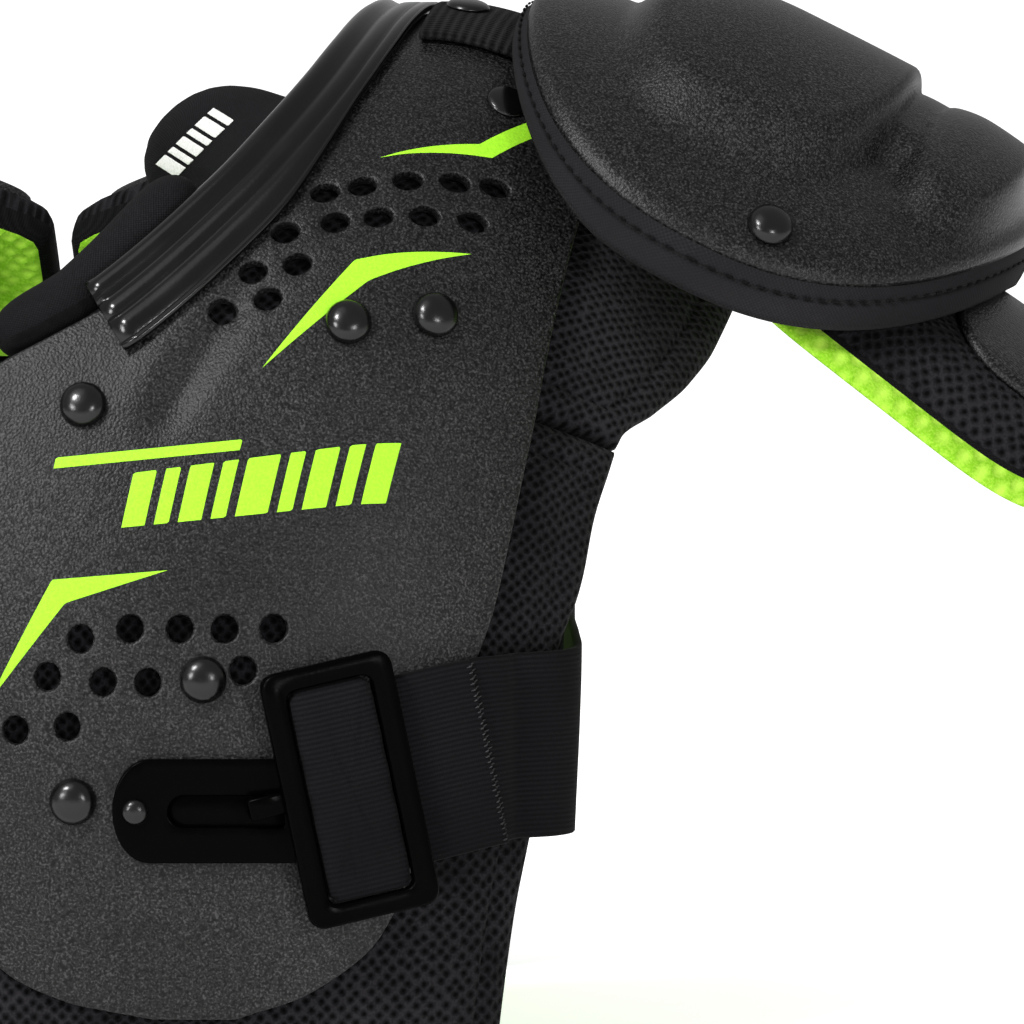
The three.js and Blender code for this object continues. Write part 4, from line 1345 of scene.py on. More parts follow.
@dataclass
class NeckTrim:
    """Vinyl trim sewn along the neck edge of an arch: a flat band with a bead beside the edge."""

    band: float = 7.6
    spread: float = 3.4
    stitch: float = 4.4
    narrow: tuple[float, float] = (-42.0, -24.0)
    wall: float = 1.4
    bead: float = 2.9
    low: float = 4.1
    gap: float = 0.3
    from_turn: float = -52.0
    to_turn: float = 31.0

    @staticmethod
    def from_neck(turn: Array, away: Array, height: Array) -> Array:
        """Points at a distance from the neck edge, measured over the form.

        Args:
            turn: Turns of the neck edge.
            away: Distance away from the neck.
            height: Height over the form.

        Returns:
            An array of points.
        """
        turn = np.asarray(turn, float)
        step = 0.5
        rib = OUTLINE.inner(turn)
        along = unit(FORM.point(OUTLINE.inner(turn + step), turn + step)
                     - FORM.point(OUTLINE.inner(turn - step), turn - step))
        out = np.cross(along, FORM.normal(rib, turn))
        out *= np.sign(out[..., :1])
        per_rib = (FORM.point(rib + step, turn) - FORM.point(rib - step, turn)) / (2 * step)
        per_turn = (FORM.point(rib, turn + step) - FORM.point(rib, turn - step)) / (2 * step)
        a, b, c = ((per_rib ** 2).sum(-1), (per_rib * per_turn).sum(-1), (per_turn ** 2).sum(-1))
        d, e = (per_rib * out).sum(-1), (per_turn * out).sum(-1)
        det = a * c - b * b
        away = np.asarray(away, float)
        return FORM.skin(rib + away * (c * d - b * e) / det, turn + away * (a * e - b * d) / det, height)

    def build(self, side: Side) -> Piece:
        """Makes the trim of one side.

        Args:
            side: The half to build.

        Returns:
            The trim.
        """
        high = self.low + self.wall
        middle = -self.bead - self.gap
        wide = self.band + self.spread
        section = [(wide, self.low), (wide + 0.15, self.low + 0.5), (wide - 0.1, high - 0.25),
                   (wide - 0.5, high), (wide - 0.9, high), (wide - 1.15, high - 0.3), (wide - 1.4, high),
                   (self.stitch + 2.0, high), (self.stitch + 0.5, high), (self.stitch, high - 0.5),
                   (self.stitch - 0.5, high), (2.0, high), (0.9, high - 0.1), (0.2, high - 0.6),
                   (-0.2, high - 0.55)]
        for angle in np.linspace(52, 300, 14):
            section.append((middle + self.bead * math.cos(math.radians(angle)),
                            high - 0.8 * self.bead + self.bead * math.sin(math.radians(angle))))
        section.append((-0.6, self.low))
        profile = np.array(section)
        turns = np.linspace(self.from_turn, self.to_turn, 120)
        grid = np.repeat(turns[:, None], len(profile), 1)
        root = self.stitch + 0.5
        taper = self.spread * smooth(turns, *self.narrow)
        share = (wide - taper - root) / (wide - root)
        away = np.repeat(profile[None, :, 0], len(turns), 0)
        away = np.where(away > root, root + (away - root) * share[:, None], away)
        rings = self.from_neck(grid, away, np.repeat(profile[None, :, 1], len(turns), 0))
        uv = np.stack([grid * FORM.leg_rate, np.repeat(lengths_along(profile)[None], len(turns), 0)], -1)
        piece = tube(rings, uv).build("neck_trim", side, [VINYL])
        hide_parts(f"neck_trim_{side.label}")
        return piece


def bar(points: Sequence[tuple[float, float, float]] | Array, radius: Callable[[Array], Array],
        steps: int = 60, around: int = 28,
        pucker: Callable[[Array, Array], Array] | None = None) -> Shape:
    """Round stuffed bar along a smooth curve.

    Args:
        points: Places that the middle passes through.
        radius: Radius over the length, from 0 to 1.
        steps: Rings along it.
        around: Points in a ring.
        pucker: Change of the radius by length share and angle.

    Returns:
        The closed shape, with length and girth as its surface coordinates.
    """
    given = np.array(points, float)
    knots = lengths_along(given)
    knots /= knots[-1]
    curves = [Through(list(zip(knots, given[:, k]))) for k in range(3)]
    t = (1 - np.cos(np.linspace(0, math.pi, steps))) / 2
    middle = np.stack([curve(t) for curve in curves], -1)
    heading = unit(np.gradient(middle, axis=0))
    side = unit(np.cross(heading, (0, 0, 1.0)))
    up = np.cross(side, heading)
    turns = np.linspace(0, 2 * math.pi, around, endpoint=False)
    size = radius(t)[:, None] * np.ones(around)[None]
    if pucker is not None:
        size = size * (1 + pucker(np.repeat(t[:, None], around, 1), np.repeat(turns[None], steps, 0)))
    rings = (middle[:, None] + size[..., None] * (np.cos(turns)[None, :, None] * side[:, None]
                                                  + np.sin(turns)[None, :, None] * up[:, None]))
    uv = np.stack([np.repeat(lengths_along(middle)[:, None], around, 1),
                   np.repeat((turns * float(radius(np.array([0.5]))[0]))[None], steps, 0)], -1)
    return tube(rings, uv)


def thread(radius: float) -> Callable[[Array], Array]:
    """Radius of a stitch over its length, thin at both ends."""
    return lambda t: radius * np.sqrt(1 - np.abs(2 * t - 1) ** 4 * 0.9)


@dataclass
class NeckRolls:
    """Stuffed rolls inside the neck: a slim one along the front and a thick one behind."""

    slim: float = 6.5
    thick: float = 15.5
    slim_away: float = -12.5
    slim_drop: float = 5.0
    slim_turns: tuple[float, float] = (-56.0, -40.0)
    thick_path: tuple[tuple[float, float, float], ...] = (
        (30.5, 36, 172), (43.5, 25, 180), (59.4, 7, 177), (67.6, -9, 173.6))
    mark_from: tuple[float, float, float] = (32.6, 10.0, 178.0)
    mark_step: tuple[float, float] = (2.15, 1.95)
    mark_bars: tuple[float, ...] = (2.9, 1.6, 2.4, 1.6, 2.9, 1.8)
    mark_half: float = 2.7
    mark_lean: float = 0.7
    mark_gap: float = 0.8
    mark_facing: tuple[float, float, float] = (0.14, -0.99, 0.07)
    mark_reach: float = 120.0

    @staticmethod
    def _gathers(t: Array, angle: Array) -> Array:
        """Gathers of the cloth at both ends of a roll."""
        end = np.exp(-((np.minimum(t, 1 - t)) / 0.1) ** 2)
        return 0.05 * end * np.sin(11 * angle + 5 * np.sin(2 * angle)) + 0.012 * np.sin(9 * t + 3 * angle)

    def build(self, side: Side) -> list[Piece]:
        """Makes both rolls of one side and the white bars on the thick one.

        Args:
            side: The half to build.

        Returns:
            The slim roll, the thick roll and its mark.
        """
        turns = np.linspace(*self.slim_turns, 9)
        path = NeckTrim.from_neck(turns, np.full(9, self.slim_away), np.full(9, -4.0))
        path[:, 2] -= self.slim_drop * (1 - smooth(turns, self.slim_turns[0], self.slim_turns[1]))
        slim = bar(path, lambda t: self.slim * np.sqrt(1 - np.abs(2 * t - 1) ** 8 * 0.985), 90, 24,
                   self._gathers)
        made = [slim.build("collar_roll", side, [ROLL_CLOTH])]
        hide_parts(f"collar_roll_{side.label}")
        thick = bar(self.thick_path, lambda t: self.thick * np.sqrt(1 - np.abs(2 * t - 1) ** 5 * 0.985),
                    80, 40, self._gathers)
        made.append(thick.build("neck_roll", side, [ROLL_CLOTH]))
        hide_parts(f"neck_roll_{side.label}")
        made.append(self.mark(thick).build("roll_bars", side, [WHITE]))
        return made

    def mark(self, roll: Shape) -> Shape:
        """Plain slanted bars printed on the thick roll, where it faces forward.

        Args:
            roll: The roll that carries them.

        Returns:
            The bars, laid on the roll's surface.
        """
        tree = BVHTree.FromPolygons(roll.vertices.tolist(), roll.faces)
        start = Vector(self.mark_from)
        along = Vector((self.mark_step[0], 0, self.mark_step[1])).normalized()
        facing = Vector(self.mark_facing).normalized()
        across = along.cross(facing).normalized()

        def place(a: Array, b: Array, height: Array) -> Array:
            """Lays the flat pattern on the roll, along its facing direction.

            Args:
                a: Distances along the mark.
                b: Distances across it.
                height: Heights over the roll.

            Returns:
                The points.
            """
            laid = []
            for x, y, h in zip(a, b, height):
                origin = start + along * float(x) + across * float(y) + facing * self.mark_reach
                hit, normal, _, _ = tree.ray_cast(origin, -facing)
                if hit is None:
                    hit, normal, _, _ = tree.find_nearest(origin - facing * self.mark_reach)
                laid.append(hit + normal * float(h) * (1 if normal.dot(facing) > 0 else -1))
            return np.array(laid)

        bars, at = [], 0.0
        lean, half = self.mark_lean, self.mark_half
        for width in self.mark_bars:
            outline = np.array([(at - lean, -half), (at + width - lean, -half), (at + width + lean, half),
                                (at + lean, half)])
            sheet = PressedSheet(outline, place, 0.22, 0.06, lip=0.1, spacing=0.9, edge_step=0.45)
            bars.append(sheet.shape())
            at += width + self.mark_gap
        return merged(bars)


@dataclass
class ShoulderWebbing:
    """Ribbed webbing over the crest, out to the root of the sleeve pad."""

    half_width: float = 24.0
    wall: float = 1.8
    low: float = 3.8
    from_rib: float = 81.8
    to_rib: float = 121.0
    sleeve_root: tuple[float, float, float] = (160.0, 0.0, 176.4)
    sleeve_arch: float = 17.0
    sleeve_half: float = 60.0

    def build(self, side: Side) -> Piece:
        """Makes the webbing of one side.

        Args:
            side: The half to build.

        Returns:
            The webbing.
        """
        inset = self.half_width - 0.5
        ys = np.concatenate([[-self.half_width], np.linspace(-inset, inset, 46), [self.half_width]])
        ribs = np.linspace(self.from_rib, self.to_rib, 34)
        x, y = np.meshgrid(ribs, ys, indexing="ij")
        turn = np.degrees(np.arcsin(y / FORM.half_depth)) * (1 + 0.002 * x)
        over = [FORM.skin(x, turn, self.low + self.wall), FORM.skin(x, turn, self.low)]
        root = np.array(self.sleeve_root)
        tail = []
        for lift in (self.wall, 0.0):
            rows = []
            for dx, dz, fall in ((-9, 6, 0.9), (-1.2, 1.0, 1.0)):
                sag = fall * self.sleeve_arch * (ys / self.sleeve_half) ** 2
                rows.append(np.stack([np.full(len(ys), root[0] + dx), ys, root[2] + dz + lift - sag], -1))
            tail.append(rows)
        layers = []
        for face, rows in zip(over, tail):
            last = face[-1]
            extra = []
            for k in range(1, 9):
                t = k / 8
                extra.append((1 - t) ** 2 * last + 2 * t * (1 - t) * rows[0] + t * t * rows[1])
            layers.append(np.concatenate([face, np.array(extra)]))
        top, low = layers
        pinch = np.array([0.0] + [1.0] * (len(ys) - 2) + [0.0])
        middle = (top + low) / 2
        top, low = (middle + (face - middle) * (0.35 + 0.65 * pinch)[None, :, None] for face in (top, low))
        ring = np.concatenate([top, low[:, ::-1]], axis=1)
        length = lengths_along(middle[:, len(ys) // 2])
        v = np.concatenate([ys, ys[::-1]])
        uv = np.stack([np.repeat(length[:, None], ring.shape[1], 1), np.repeat(v[None], len(length), 0)], -1)
        piece = tube(ring, uv).build("shoulder_webbing", side, [WEBBING])
        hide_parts(f"shoulder_webbing_{side.label}")
        return piece


@dataclass(frozen=True)
class Dome:
    """One swelling of the epaulet's shell."""

    u: float
    v: float
    half_u: float
    half_v: float
    power: float
    rise: float


@dataclass
class Epaulet:
    """Domed shell over the shoulder with the pad under it and its two rivets."""

    centre: tuple[float, float, float] = (165.0, 0.0, 188.6)
    slope: float = 26.5
    half_length: float = 57.0
    half_width: float = 67.7
    sag: float = 26.0
    power: float = 2.37
    wall: float = 2.5
    crown: float = 7.0
    shoulder: float = 8.0
    ease: float = 0.42
    domes: tuple[Dome, ...] = (Dome(-6, 0, 33, 55, 2.8, 13), Dome(39, 0, 16, 46, 2.3, 11),
                               Dome(27, 0, 16, 34, 2.2, 9))
    gap: float = 0.8
    pad_wall: float = 8.4
    pad_corner: float = 2.4
    pad_clearance: float = 0.3
    pad_out: float = 0.7
    pad_plump: float = 1.2
    pad_inner_wall: float = 3.2
    rivet_place: tuple[float, float] = (12.0, 61.9)
    rivet_diameter: float = 9.4
    rivet_dome: float = 3.4
    around: int = 168
    stitch_count: int = 120
    stitch_half: float = 0.28

    def matrix(self) -> Matrix:
        """Placement of the epaulet's own frame."""
        return (Matrix.Translation(Vector(self.centre)) @ Matrix.Rotation(math.radians(self.slope), 4, "Y"))

    def reach(self, u: Array, v: Array) -> Array:
        """How far out a place lies: 1 at the rim."""
        return (np.abs(u / self.half_length) ** self.power
                + np.abs(v / self.half_width) ** self.power) ** (1 / self.power)

    def height(self, u: Array, v: Array) -> Array:
        """Height of the shell's outer face.

        Args:
            u: Place out along the shoulder.
            v: Place from front to back.

        Returns:
            The height over the epaulet's frame.
        """
        reach = np.minimum(self.reach(u, v), 1)
        body = self.wall - self.sag * (v / self.half_width) ** 2 + self.crown * np.sqrt(1 - reach ** 3)
        swell = np.zeros_like(body)
        for one in self.domes:
            near = (np.abs((u - one.u) / one.half_u) ** one.power
                    + np.abs((v - one.v) / one.half_v) ** one.power) ** (1 / one.power)
            near = np.maximum(near, 0.01)
            within = np.hypot(u - one.u, v - one.v) * (1 - near) / near
            ease = (np.clip((v - one.v) / one.half_v, -1, 1) ** 2
                    + np.clip((one.u - u) / one.half_u, 0, 1) ** 2)
            rise = one.rise * (1 - self.ease * np.minimum(ease, 1))
            swell = np.maximum(swell, rise * np.where(near > 0.01, smooth(within, 0, self.shoulder), 1))
        return body + swell

    def pad_depth(self, u: Array) -> Array:
        """Wall of the pad: thin where the epaulet meets the arch."""
        share = smooth(u, -0.9 * self.half_length, -0.25 * self.half_length)
        return self.pad_inner_wall + (self.pad_wall - self.pad_inner_wall) * share

    def _disc(self, shares: Array) -> tuple[Array, Array]:
        """Places over the outline in rings from the middle to the rim.

        Args:
            shares: Share of the outline at each ring.

        Returns:
            Both coordinates of the places.
        """
        turns = np.linspace(0, 2 * math.pi, self.around, endpoint=False)
        u, v = superellipse(turns, self.half_length, self.half_width, self.power)
        return shares[:, None] * u[None], shares[:, None] * v[None]

    def shell_shape(self) -> Shape:
        """Shell with a rounded rim.

        Returns:
            The closed shape.
        """
        u, v = self._disc(np.concatenate([np.linspace(0.012, 0.97, 62), [0.985, 0.994, 1.0]]))
        top = np.stack([u, v, self.height(u, v)], -1)
        top[-1, :, 2] -= 0.7
        top[-2, :, 2] -= 0.2
        low = np.stack([u, v, self.height(u, v) - self.wall], -1)
        low[-1, :, 2] += 0.7
        low[-2, :, 2] += 0.2
        rings = np.concatenate([top, low[::-1]])
        return tube(rings, rings[..., :2].copy())

    def pad_shape(self) -> Shape:
        """Pad under the shell: a rounded edge that stands out a little past the rim.

        Returns:
            The closed shape.
        """
        corner = self.pad_corner
        arc = np.linspace(0, math.pi / 2, 8)
        inset = corner * (1 - np.sin(arc)) / self.half_length
        drop = corner * (1 - np.cos(arc))
        inner = np.linspace(0.02, 1 - corner / self.half_length - 0.006, 26)
        walls = np.linspace(0.18, 0.82, 5)
        rings = []

        def ring(share: float, depth_share: float, shift: float, out: float = 0.0) -> None:
            """Adds one ring of the pad.

            Args:
                share: Share of the outline.
                depth_share: Share of the pad's wall, from its upper face.
                shift: Height added to the ring.
                out: Distance that it stands out.
            """
            u, v = self._disc(np.array([share]))
            ceiling = self.height(u, v) - self.wall - self.pad_clearance
            depth = self.pad_depth(u) + self.gap + self.pad_plump - self.pad_clearance
            grow = 1 + (self.pad_out + out) / self.half_length
            rings.append(np.stack([u * grow, v * grow, ceiling - depth * depth_share + shift], -1)[0])

        for share in inner:
            ring(share, 0.0, 0.0)
        for step, fall in zip(inset, drop):
            ring(1 - step, 0.0, -fall)
        for wall in walls:
            bulge = 0.5 * math.sin(math.pi * wall) - 0.45 * math.exp(-((wall - 0.18) / 0.05) ** 2)
            ring(1.0, wall, 0.0, bulge)
        for step, fall in zip(inset[::-1], drop[::-1]):
            ring(1 - step, 1.0, fall)
        for share in inner[::-1]:
            ring(share, 1.0, 0.0)
        turns = np.linspace(0, 2 * math.pi * 60, self.around, endpoint=False)
        runs = lengths_along(np.array(rings)[:, 0])
        uv = np.stack([np.repeat(turns[None], len(rings), 0), np.repeat(runs[:, None], self.around, 1)], -1)
        return tube(np.array(rings), uv)

    def stitches(self) -> Shape:
        """Row of stitches round the pad's edge, under the rim.

        Returns:
            All the stitches.
        """
        row = []
        grow = 1 + (self.pad_out + 0.3) / self.half_length
        for i in range(self.stitch_count):
            turns = np.linspace(i, i + 0.55, 4) / self.stitch_count * 2 * math.pi
            u, v = superellipse(turns, self.half_length, self.half_width, self.power)
            depth = self.pad_depth(u) + self.gap - self.pad_clearance
            z = self.height(u, v) - self.wall - self.pad_clearance - 0.22 * depth
            row.append(bar(np.stack([u * grow, v * grow, z], -1), thread(self.stitch_half), 5, 6))
        return merged(row)

    def build(self, side: Side) -> list[Piece]:
        """Makes the shell, the pad and the rivets of one side.

        Args:
            side: The half to build.

        Returns:
            The four pieces.
        """
        place = self.matrix()
        shell = self.shell_shape().placed(place).build("epaulet_shell", side, [GRAIN])
        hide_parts(f"epaulet_shell_{side.label}")
        pad = self.pad_shape().placed(place).build("epaulet_pad", side, [PAD_CLOTH])
        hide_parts(f"epaulet_pad_{side.label}")
        seam = self.stitches().placed(place).build("pad_stitches", side, [BINDING])
        made = [shell, pad, seam]
        for facing in Facing:
            u, v = self.rivet_place[0], facing.value * self.rivet_place[1]
            step = 0.5
            at = np.array([u - step, u + step, u, u]), np.array([v, v, v - step, v + step])
            around = self.height(*at)
            normal = Vector((around[0] - around[1], around[2] - around[3], 2 * step)).normalized()
            height = float(self.height(np.array([u]), np.array([v]))[0])
            turned = normal.to_track_quat("Z", "Y").to_matrix().to_4x4()
            seat = Matrix.Translation(Vector((u, v, height)) + normal * 0.25) @ turned
            name = f"epaulet_rivet_{facing.name.lower()}"
            rivet = dome(self.rivet_diameter, self.rivet_dome).placed(place @ seat).build(name, side, [RIVET])
            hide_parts(f"{name}_{side.label}")
            made.append(rivet)
        return made


@dataclass
class SleevePad:
    """Arched pad over the upper arm, with its lime lining and the plastic cap on it."""

    root: tuple[float, float, float] = (160.0, 0.0, 176.4)
    slope: float = 37.5
    length: float = 98.0
    half_width: float = 60.0
    arch: float = 17.0
    wall: float = 9.5
    edge_wall: float = 3.0
    power: float = 5.0
    least_width: float = 0.3
    side_run: float = 0.35
    end_run: float = 0.11
    cap_u: float = 69.0
    cap_half_u: float = 22.0
    cap_half_v: float = 42.0
    cap_power: float = 3.0
    cap_wall: float = 2.2
    cap_gap: float = 0.5
    cap_rise: float = 1.2
    edge_round: float = 2.4
    seam: float = 6.0
    seam_half: float = 0.8
    lime_edge: float = 3.6
    bound_edge: float = 5.2

    def matrix(self) -> Matrix:
        """Placement of the sleeve pad's own frame."""
        return (Matrix.Translation(Vector(self.root)) @ Matrix.Rotation(math.radians(self.slope), 4, "Y"))

    def under(self, v: Array) -> Array:
        """Height of the arched underside."""
        return -self.arch * (v / self.half_width) ** 2

    def depth(self, u: Array, v: Array) -> Array:
        """Wall of the pad: thin at its root and edges.

        Args:
            u: Places out along the arm.
            v: Places from front to back.

        Returns:
            The wall at each place.
        """
        side = np.clip(1 - np.abs(v) / self.half_width, 0, 1)
        end = np.clip(np.minimum(u, self.length - u) / self.length, 0, 1)
        share = np.minimum(smooth(side, 0, self.side_run), smooth(end, 0, self.end_run))
        return self.edge_wall + (self.wall - self.edge_wall) * share

    def _grid(self) -> tuple[Array, Array, Array]:
        """Places over the outline, and how far each is from the edge.

        Returns:
            Both coordinates of the places and their distance from the edge.
        """
        shares = np.sin(np.linspace(-math.pi / 2, math.pi / 2, 76))
        across = np.sin(np.linspace(-math.pi / 2, math.pi / 2, 80))
        width = self.half_width * np.maximum((1 - np.abs(shares) ** self.power) ** (1 / self.power),
                                             self.least_width)
        u = np.repeat((self.length / 2 * (1 + shares))[:, None], len(across), 1)
        v = width[:, None] * across[None]
        gap = np.minimum(np.minimum(u, self.length - u), width[:, None] * (1 - np.abs(across))[None])
        return u, v, gap

    def pad_shape(self) -> Shape:
        """Pad with mesh outside, lime mesh inside and rounded bound edges.

        Returns:
            The closed shape.
        """
        u, v, gap = self._grid()
        base = self.under(v)
        depth = self.depth(u, v)
        swell = rounding(gap, self.edge_round)
        middle = base + depth / 2
        seam = np.exp(-((gap - self.seam) / self.seam_half) ** 2)
        uneven = ripple(u, v, 40.0, 0.4) * np.clip(gap / 20, 0, 1) * 0.2
        top = middle + depth / 2 * swell - 0.7 * seam
        low = middle - depth / 2 * swell + 0.6 * seam + uneven
        points = np.vstack([np.stack([u, v, face], -1).reshape(-1, 3) for face in (top, low)])
        faces, places = cushion_faces(gap)
        finish = [1 if below or edge < self.lime_edge else (0 if edge > self.bound_edge else 2)
                  for below, edge in places]
        uv = np.stack([u.ravel(), v.ravel()], -1)
        return outward(Shape(points, faces, np.vstack([uv, uv]), finish))

    def cap_sheet(self) -> Shape:
        """Plastic cap over the middle of the pad.

        Returns:
            The closed shape.
        """
        turns = np.linspace(0, 2 * math.pi, 90, endpoint=False)
        outline = np.stack(superellipse(turns, self.cap_half_u, self.cap_half_v, self.cap_power), -1)
        outline[:, 0] += self.cap_u

        def place(u: Array, v: Array, height: Array) -> Array:
            """Lays the cap on the pad's upper face."""
            rise = (1 - ((u - self.cap_u) / self.cap_half_u) ** 2) * (1 - (v / self.cap_half_v) ** 2)
            height = height + self.cap_rise * np.maximum(rise, 0)
            return np.stack([u, v, self.under(v) + self.depth(u, v) + height], -1)

        low = self.cap_gap
        return PressedSheet(outline, place, low + self.cap_wall, low, lip=0.9, spacing=2.4).shape()

    def build(self, side: Side) -> list[Piece]:
        """Makes the pad and the cap of one side.

        Args:
            side: The half to build.

        Returns:
            Both pieces.
        """
        pad = self.pad_shape().placed(self.matrix()).build("sleeve_pad", side, [KNIT, LIME_KNIT, BINDING])
        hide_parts(f"sleeve_pad_{side.label}")
        cap = self.cap_sheet().placed(self.matrix()).build("sleeve_cap", side, [GRAIN])
        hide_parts(f"sleeve_cap_{side.label}")
        return [pad, cap]


@dataclass
class SideStrap:
    """Elastic strap from the buckle round the edge of the foam to the back of the arch."""

    width: float = 38.0
    wall: float = 1.8
    fold_wall: float = 3.6
    lean: float = 12.0
    gap: float = 0.8
    plate_wall: float = 3.0
    middle_z: float = 58.8
    rises: tuple[tuple[float, float, float], ...] = ((6.5, 0.0, 45.0), (1.6, 60.0, 95.0))
    tuck: float = 3.0
    fold_run: float = 38.0
    front: tuple[tuple[float, float], ...] = (
        (78.3, 3.3), (80.4, 3.2), (82.4, 2.6), (84.5, 2.2), (88, 0.7), (91, 0), (94, -0.1), (98, 0), (103, 0),
        (108, 0), (114, 0), (119, 0), (124, 0), (128.5, 0))
    back: tuple[float, ...] = (105.2, 102, 98, 94, 90, 86, 82)
    front_side: tuple[tuple[float, float], ...] = ((2.4, 4), (2.2, 10), (-0.4, 26))
    back_side: tuple[tuple[float, float], ...] = ((8, -42), (4.6, -16), (3.5, -5.5))
    front_ramp: tuple[float, float] = (112.0, 120.0)
    back_ramp: tuple[float, float] = (99.4, 105.0)
    middle_out: float = 3.4
    edge_round: float = 0.5
    end_round: float = 2.2
    stitch_step: float = 1.15
    stitch_half: float = 0.2

    def _over(self, rib: float, ramp: tuple[float, float]) -> float:
        """Height of the strap over the form: over the plate, then down on the foam."""
        drop = float(smooth(rib, *ramp))
        return (self.plate_wall + self.gap) * (1 - drop) + self.gap * drop

    def path(self) -> tuple[Array, Array, Array]:
        """Plan of the strap's inner face.

        Returns:
            The running length, the points and the headings along it.
        """
        def on_form(rib: float, turn: float, height: float) -> Array:
            """Plan place over the body form."""
            return FORM.skin(np.array([rib]), np.array([turn]), np.array([height]))[0][:2]

        edge = on_form(float(OUTLINE.foam_edge(-90.0)), -90.0, 0.0)
        back_edge = on_form(float(OUTLINE.foam_edge(90.0)), 90.0, 0.0)
        points = [on_form(rib, -90.0, self._over(rib, self.front_ramp) + rise) for rib, rise in self.front]
        points += [edge + np.array(step) for step in self.front_side]
        points += [np.array([(edge[0] + back_edge[0]) / 2 + self.middle_out, 0.0])]
        points += [back_edge + np.array(step) for step in self.back_side]
        points += [on_form(rib, 90.0, self._over(rib, self.back_ramp)) for rib in self.back]
        curve = catmull_rom(np.array(points), 24)
        return lengths_along(curve), curve, unit(np.gradient(curve, axis=0))

    def lean_at(self, run: Array, length: float) -> Array:
        """Lean of the strap's ends over its running length.

        Args:
            run: Running lengths.
            length: Length of the whole strap.

        Returns:
            The lean in degrees.
        """
        front = self.lean * (1 - smooth(run, 40, length / 2))
        back = self.lean * smooth(run, length / 2, length)
        return np.where(run < length / 2, front, -back)

    def at(self, run: Array, v: Array, lift: Array) -> Array:
        """Points of the strap.

        Args:
            run: Running length.
            v: Height across the strap.
            lift: Distance out from its inner face.

        Returns:
            An array of points.
        """
        lengths, curve, heading = self.path()
        length = lengths[-1]
        lean = np.radians(self.lean_at(run, length))
        near = np.minimum(run, length - run)
        rise = sum(height * smooth(near, start, end) for height, start, end in self.rises)
        lift = lift - self.tuck * smooth(near, 48, 80) * (0.5 - v / self.width) ** 2
        place = np.clip(run - v * np.tan(lean), 0, length)
        x, y = np.interp(place, lengths, curve[:, 0]), np.interp(place, lengths, curve[:, 1])
        hx, hy = np.interp(place, lengths, heading[:, 0]), np.interp(place, lengths, heading[:, 1])
        return np.stack([x + hy * lift, y - hx * lift, self.middle_z + rise + v * np.cos(lean)], -1)

    def wall_at(self, run: Array) -> Array:
        """Wall of the strap over its running length: doubled in the fold."""
        return self.fold_wall + (self.wall - self.fold_wall) * smooth(run, self.fold_run, self.fold_run + 0.7)

    def build(self, side: Side) -> list[Piece]:
        """Makes the strap and its sewn seam on one side.

        Args:
            side: The half to build.

        Returns:
            The strap and the seam.
        """
        length = self.path()[0][-1]
        slant = self.width / 2 * math.tan(math.radians(self.lean))
        runs = np.concatenate([np.linspace(slant, slant + 14, 20),
                               np.linspace(slant + 15, self.fold_run - 0.8, 18),
                               np.linspace(self.fold_run - 0.5, self.fold_run + 1.6, 9),
                               np.linspace(self.fold_run + 3, length - slant, 150)])
        half = self.width / 2
        edge = np.array([half, half - 0.12, half - 0.45])
        vs = np.concatenate([-edge, np.linspace(-half + 1.6, half - 1.6, 22), edge[::-1]])
        run, v = np.meshgrid(runs, vs, indexing="ij")
        half_wall = self.wall_at(run) / 2
        pinch = np.clip(rounding(half - np.abs(v), self.edge_round), 0.25, 1)
        pinch = pinch * np.clip(rounding(run - slant, self.end_round), 0.15, 1)
        ring = np.concatenate([self.at(run, v, half_wall * (1 + pinch)),
                               self.at(run, v, half_wall * (1 - pinch))[:, ::-1]], axis=1)
        uv = np.concatenate([np.stack([run, v], -1), np.stack([run, v], -1)[:, ::-1]], axis=1)
        strap = tube(ring, uv).build("side_strap", side, [ELASTIC])
        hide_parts(f"side_strap_{side.label}")
        seam = self.stitches().build("strap_seam", side, [THREAD])
        return [strap, seam]

    def stitches(self) -> Shape:
        """Uneven whipped stitches down the folded end.

        Returns:
            All the stitches.
        """
        rng = np.random.default_rng(SEED)
        seam = []
        for v in np.arange(-self.width / 2 + 1.2, self.width / 2 - 0.8, self.stitch_step):
            bow = 1.2 * (1 - (2 * v / self.width) ** 2)
            run = self.fold_run + 0.35 + bow * 0.2
            a = np.array([run - 1.1 - rng.uniform(0, 0.4), run + 1.0 + rng.uniform(0, 0.3)])
            height = v + np.array([-0.25, 0.25]) + rng.uniform(-0.15, 0.15)
            t = np.linspace(0, 1, 5)
            runs = a[0] + (a[1] - a[0]) * t
            vs = height[0] + (height[1] - height[0]) * t
            lift = self.wall_at(runs) + 0.1 + 0.12 * np.sin(math.pi * t)
            seam.append(bar(self.at(runs, vs, lift), thread(self.stitch_half), 6, 6))
        return merged(seam)


def catmull_rom(points: Array, steps: int) -> Array:
    """Centripetal Catmull-Rom curve through points in the plane.

    Args:
        points: The places that it passes through.
        steps: Steps between two places.

    Returns:
        The curve's points.
    """
    ends = np.vstack([2 * points[0] - points[1], points, 2 * points[-1] - points[-2]])
    curve = []
    for i in range(1, len(ends) - 2):
        p = ends[i - 1:i + 3]
        t = np.r_[0, np.cumsum(np.linalg.norm(np.diff(p, axis=0), axis=1) ** 0.5)]
        for s in np.linspace(t[1], t[2], steps, endpoint=False):
            a = [(t[k + 1] - s) / (t[k + 1] - t[k]) * p[k] + (s - t[k]) / (t[k + 1] - t[k]) * p[k + 1]
                 for k in range(3)]
            b = [(t[k + 2] - s) / (t[k + 2] - t[k]) * a[k] + (s - t[k]) / (t[k + 2] - t[k]) * a[k + 1]
                 for k in range(2)]
            curve.append((t[2] - s) / (t[2] - t[1]) * b[0] + (s - t[1]) / (t[2] - t[1]) * b[1])
    curve.append(points[-1])
    return np.array(curve)


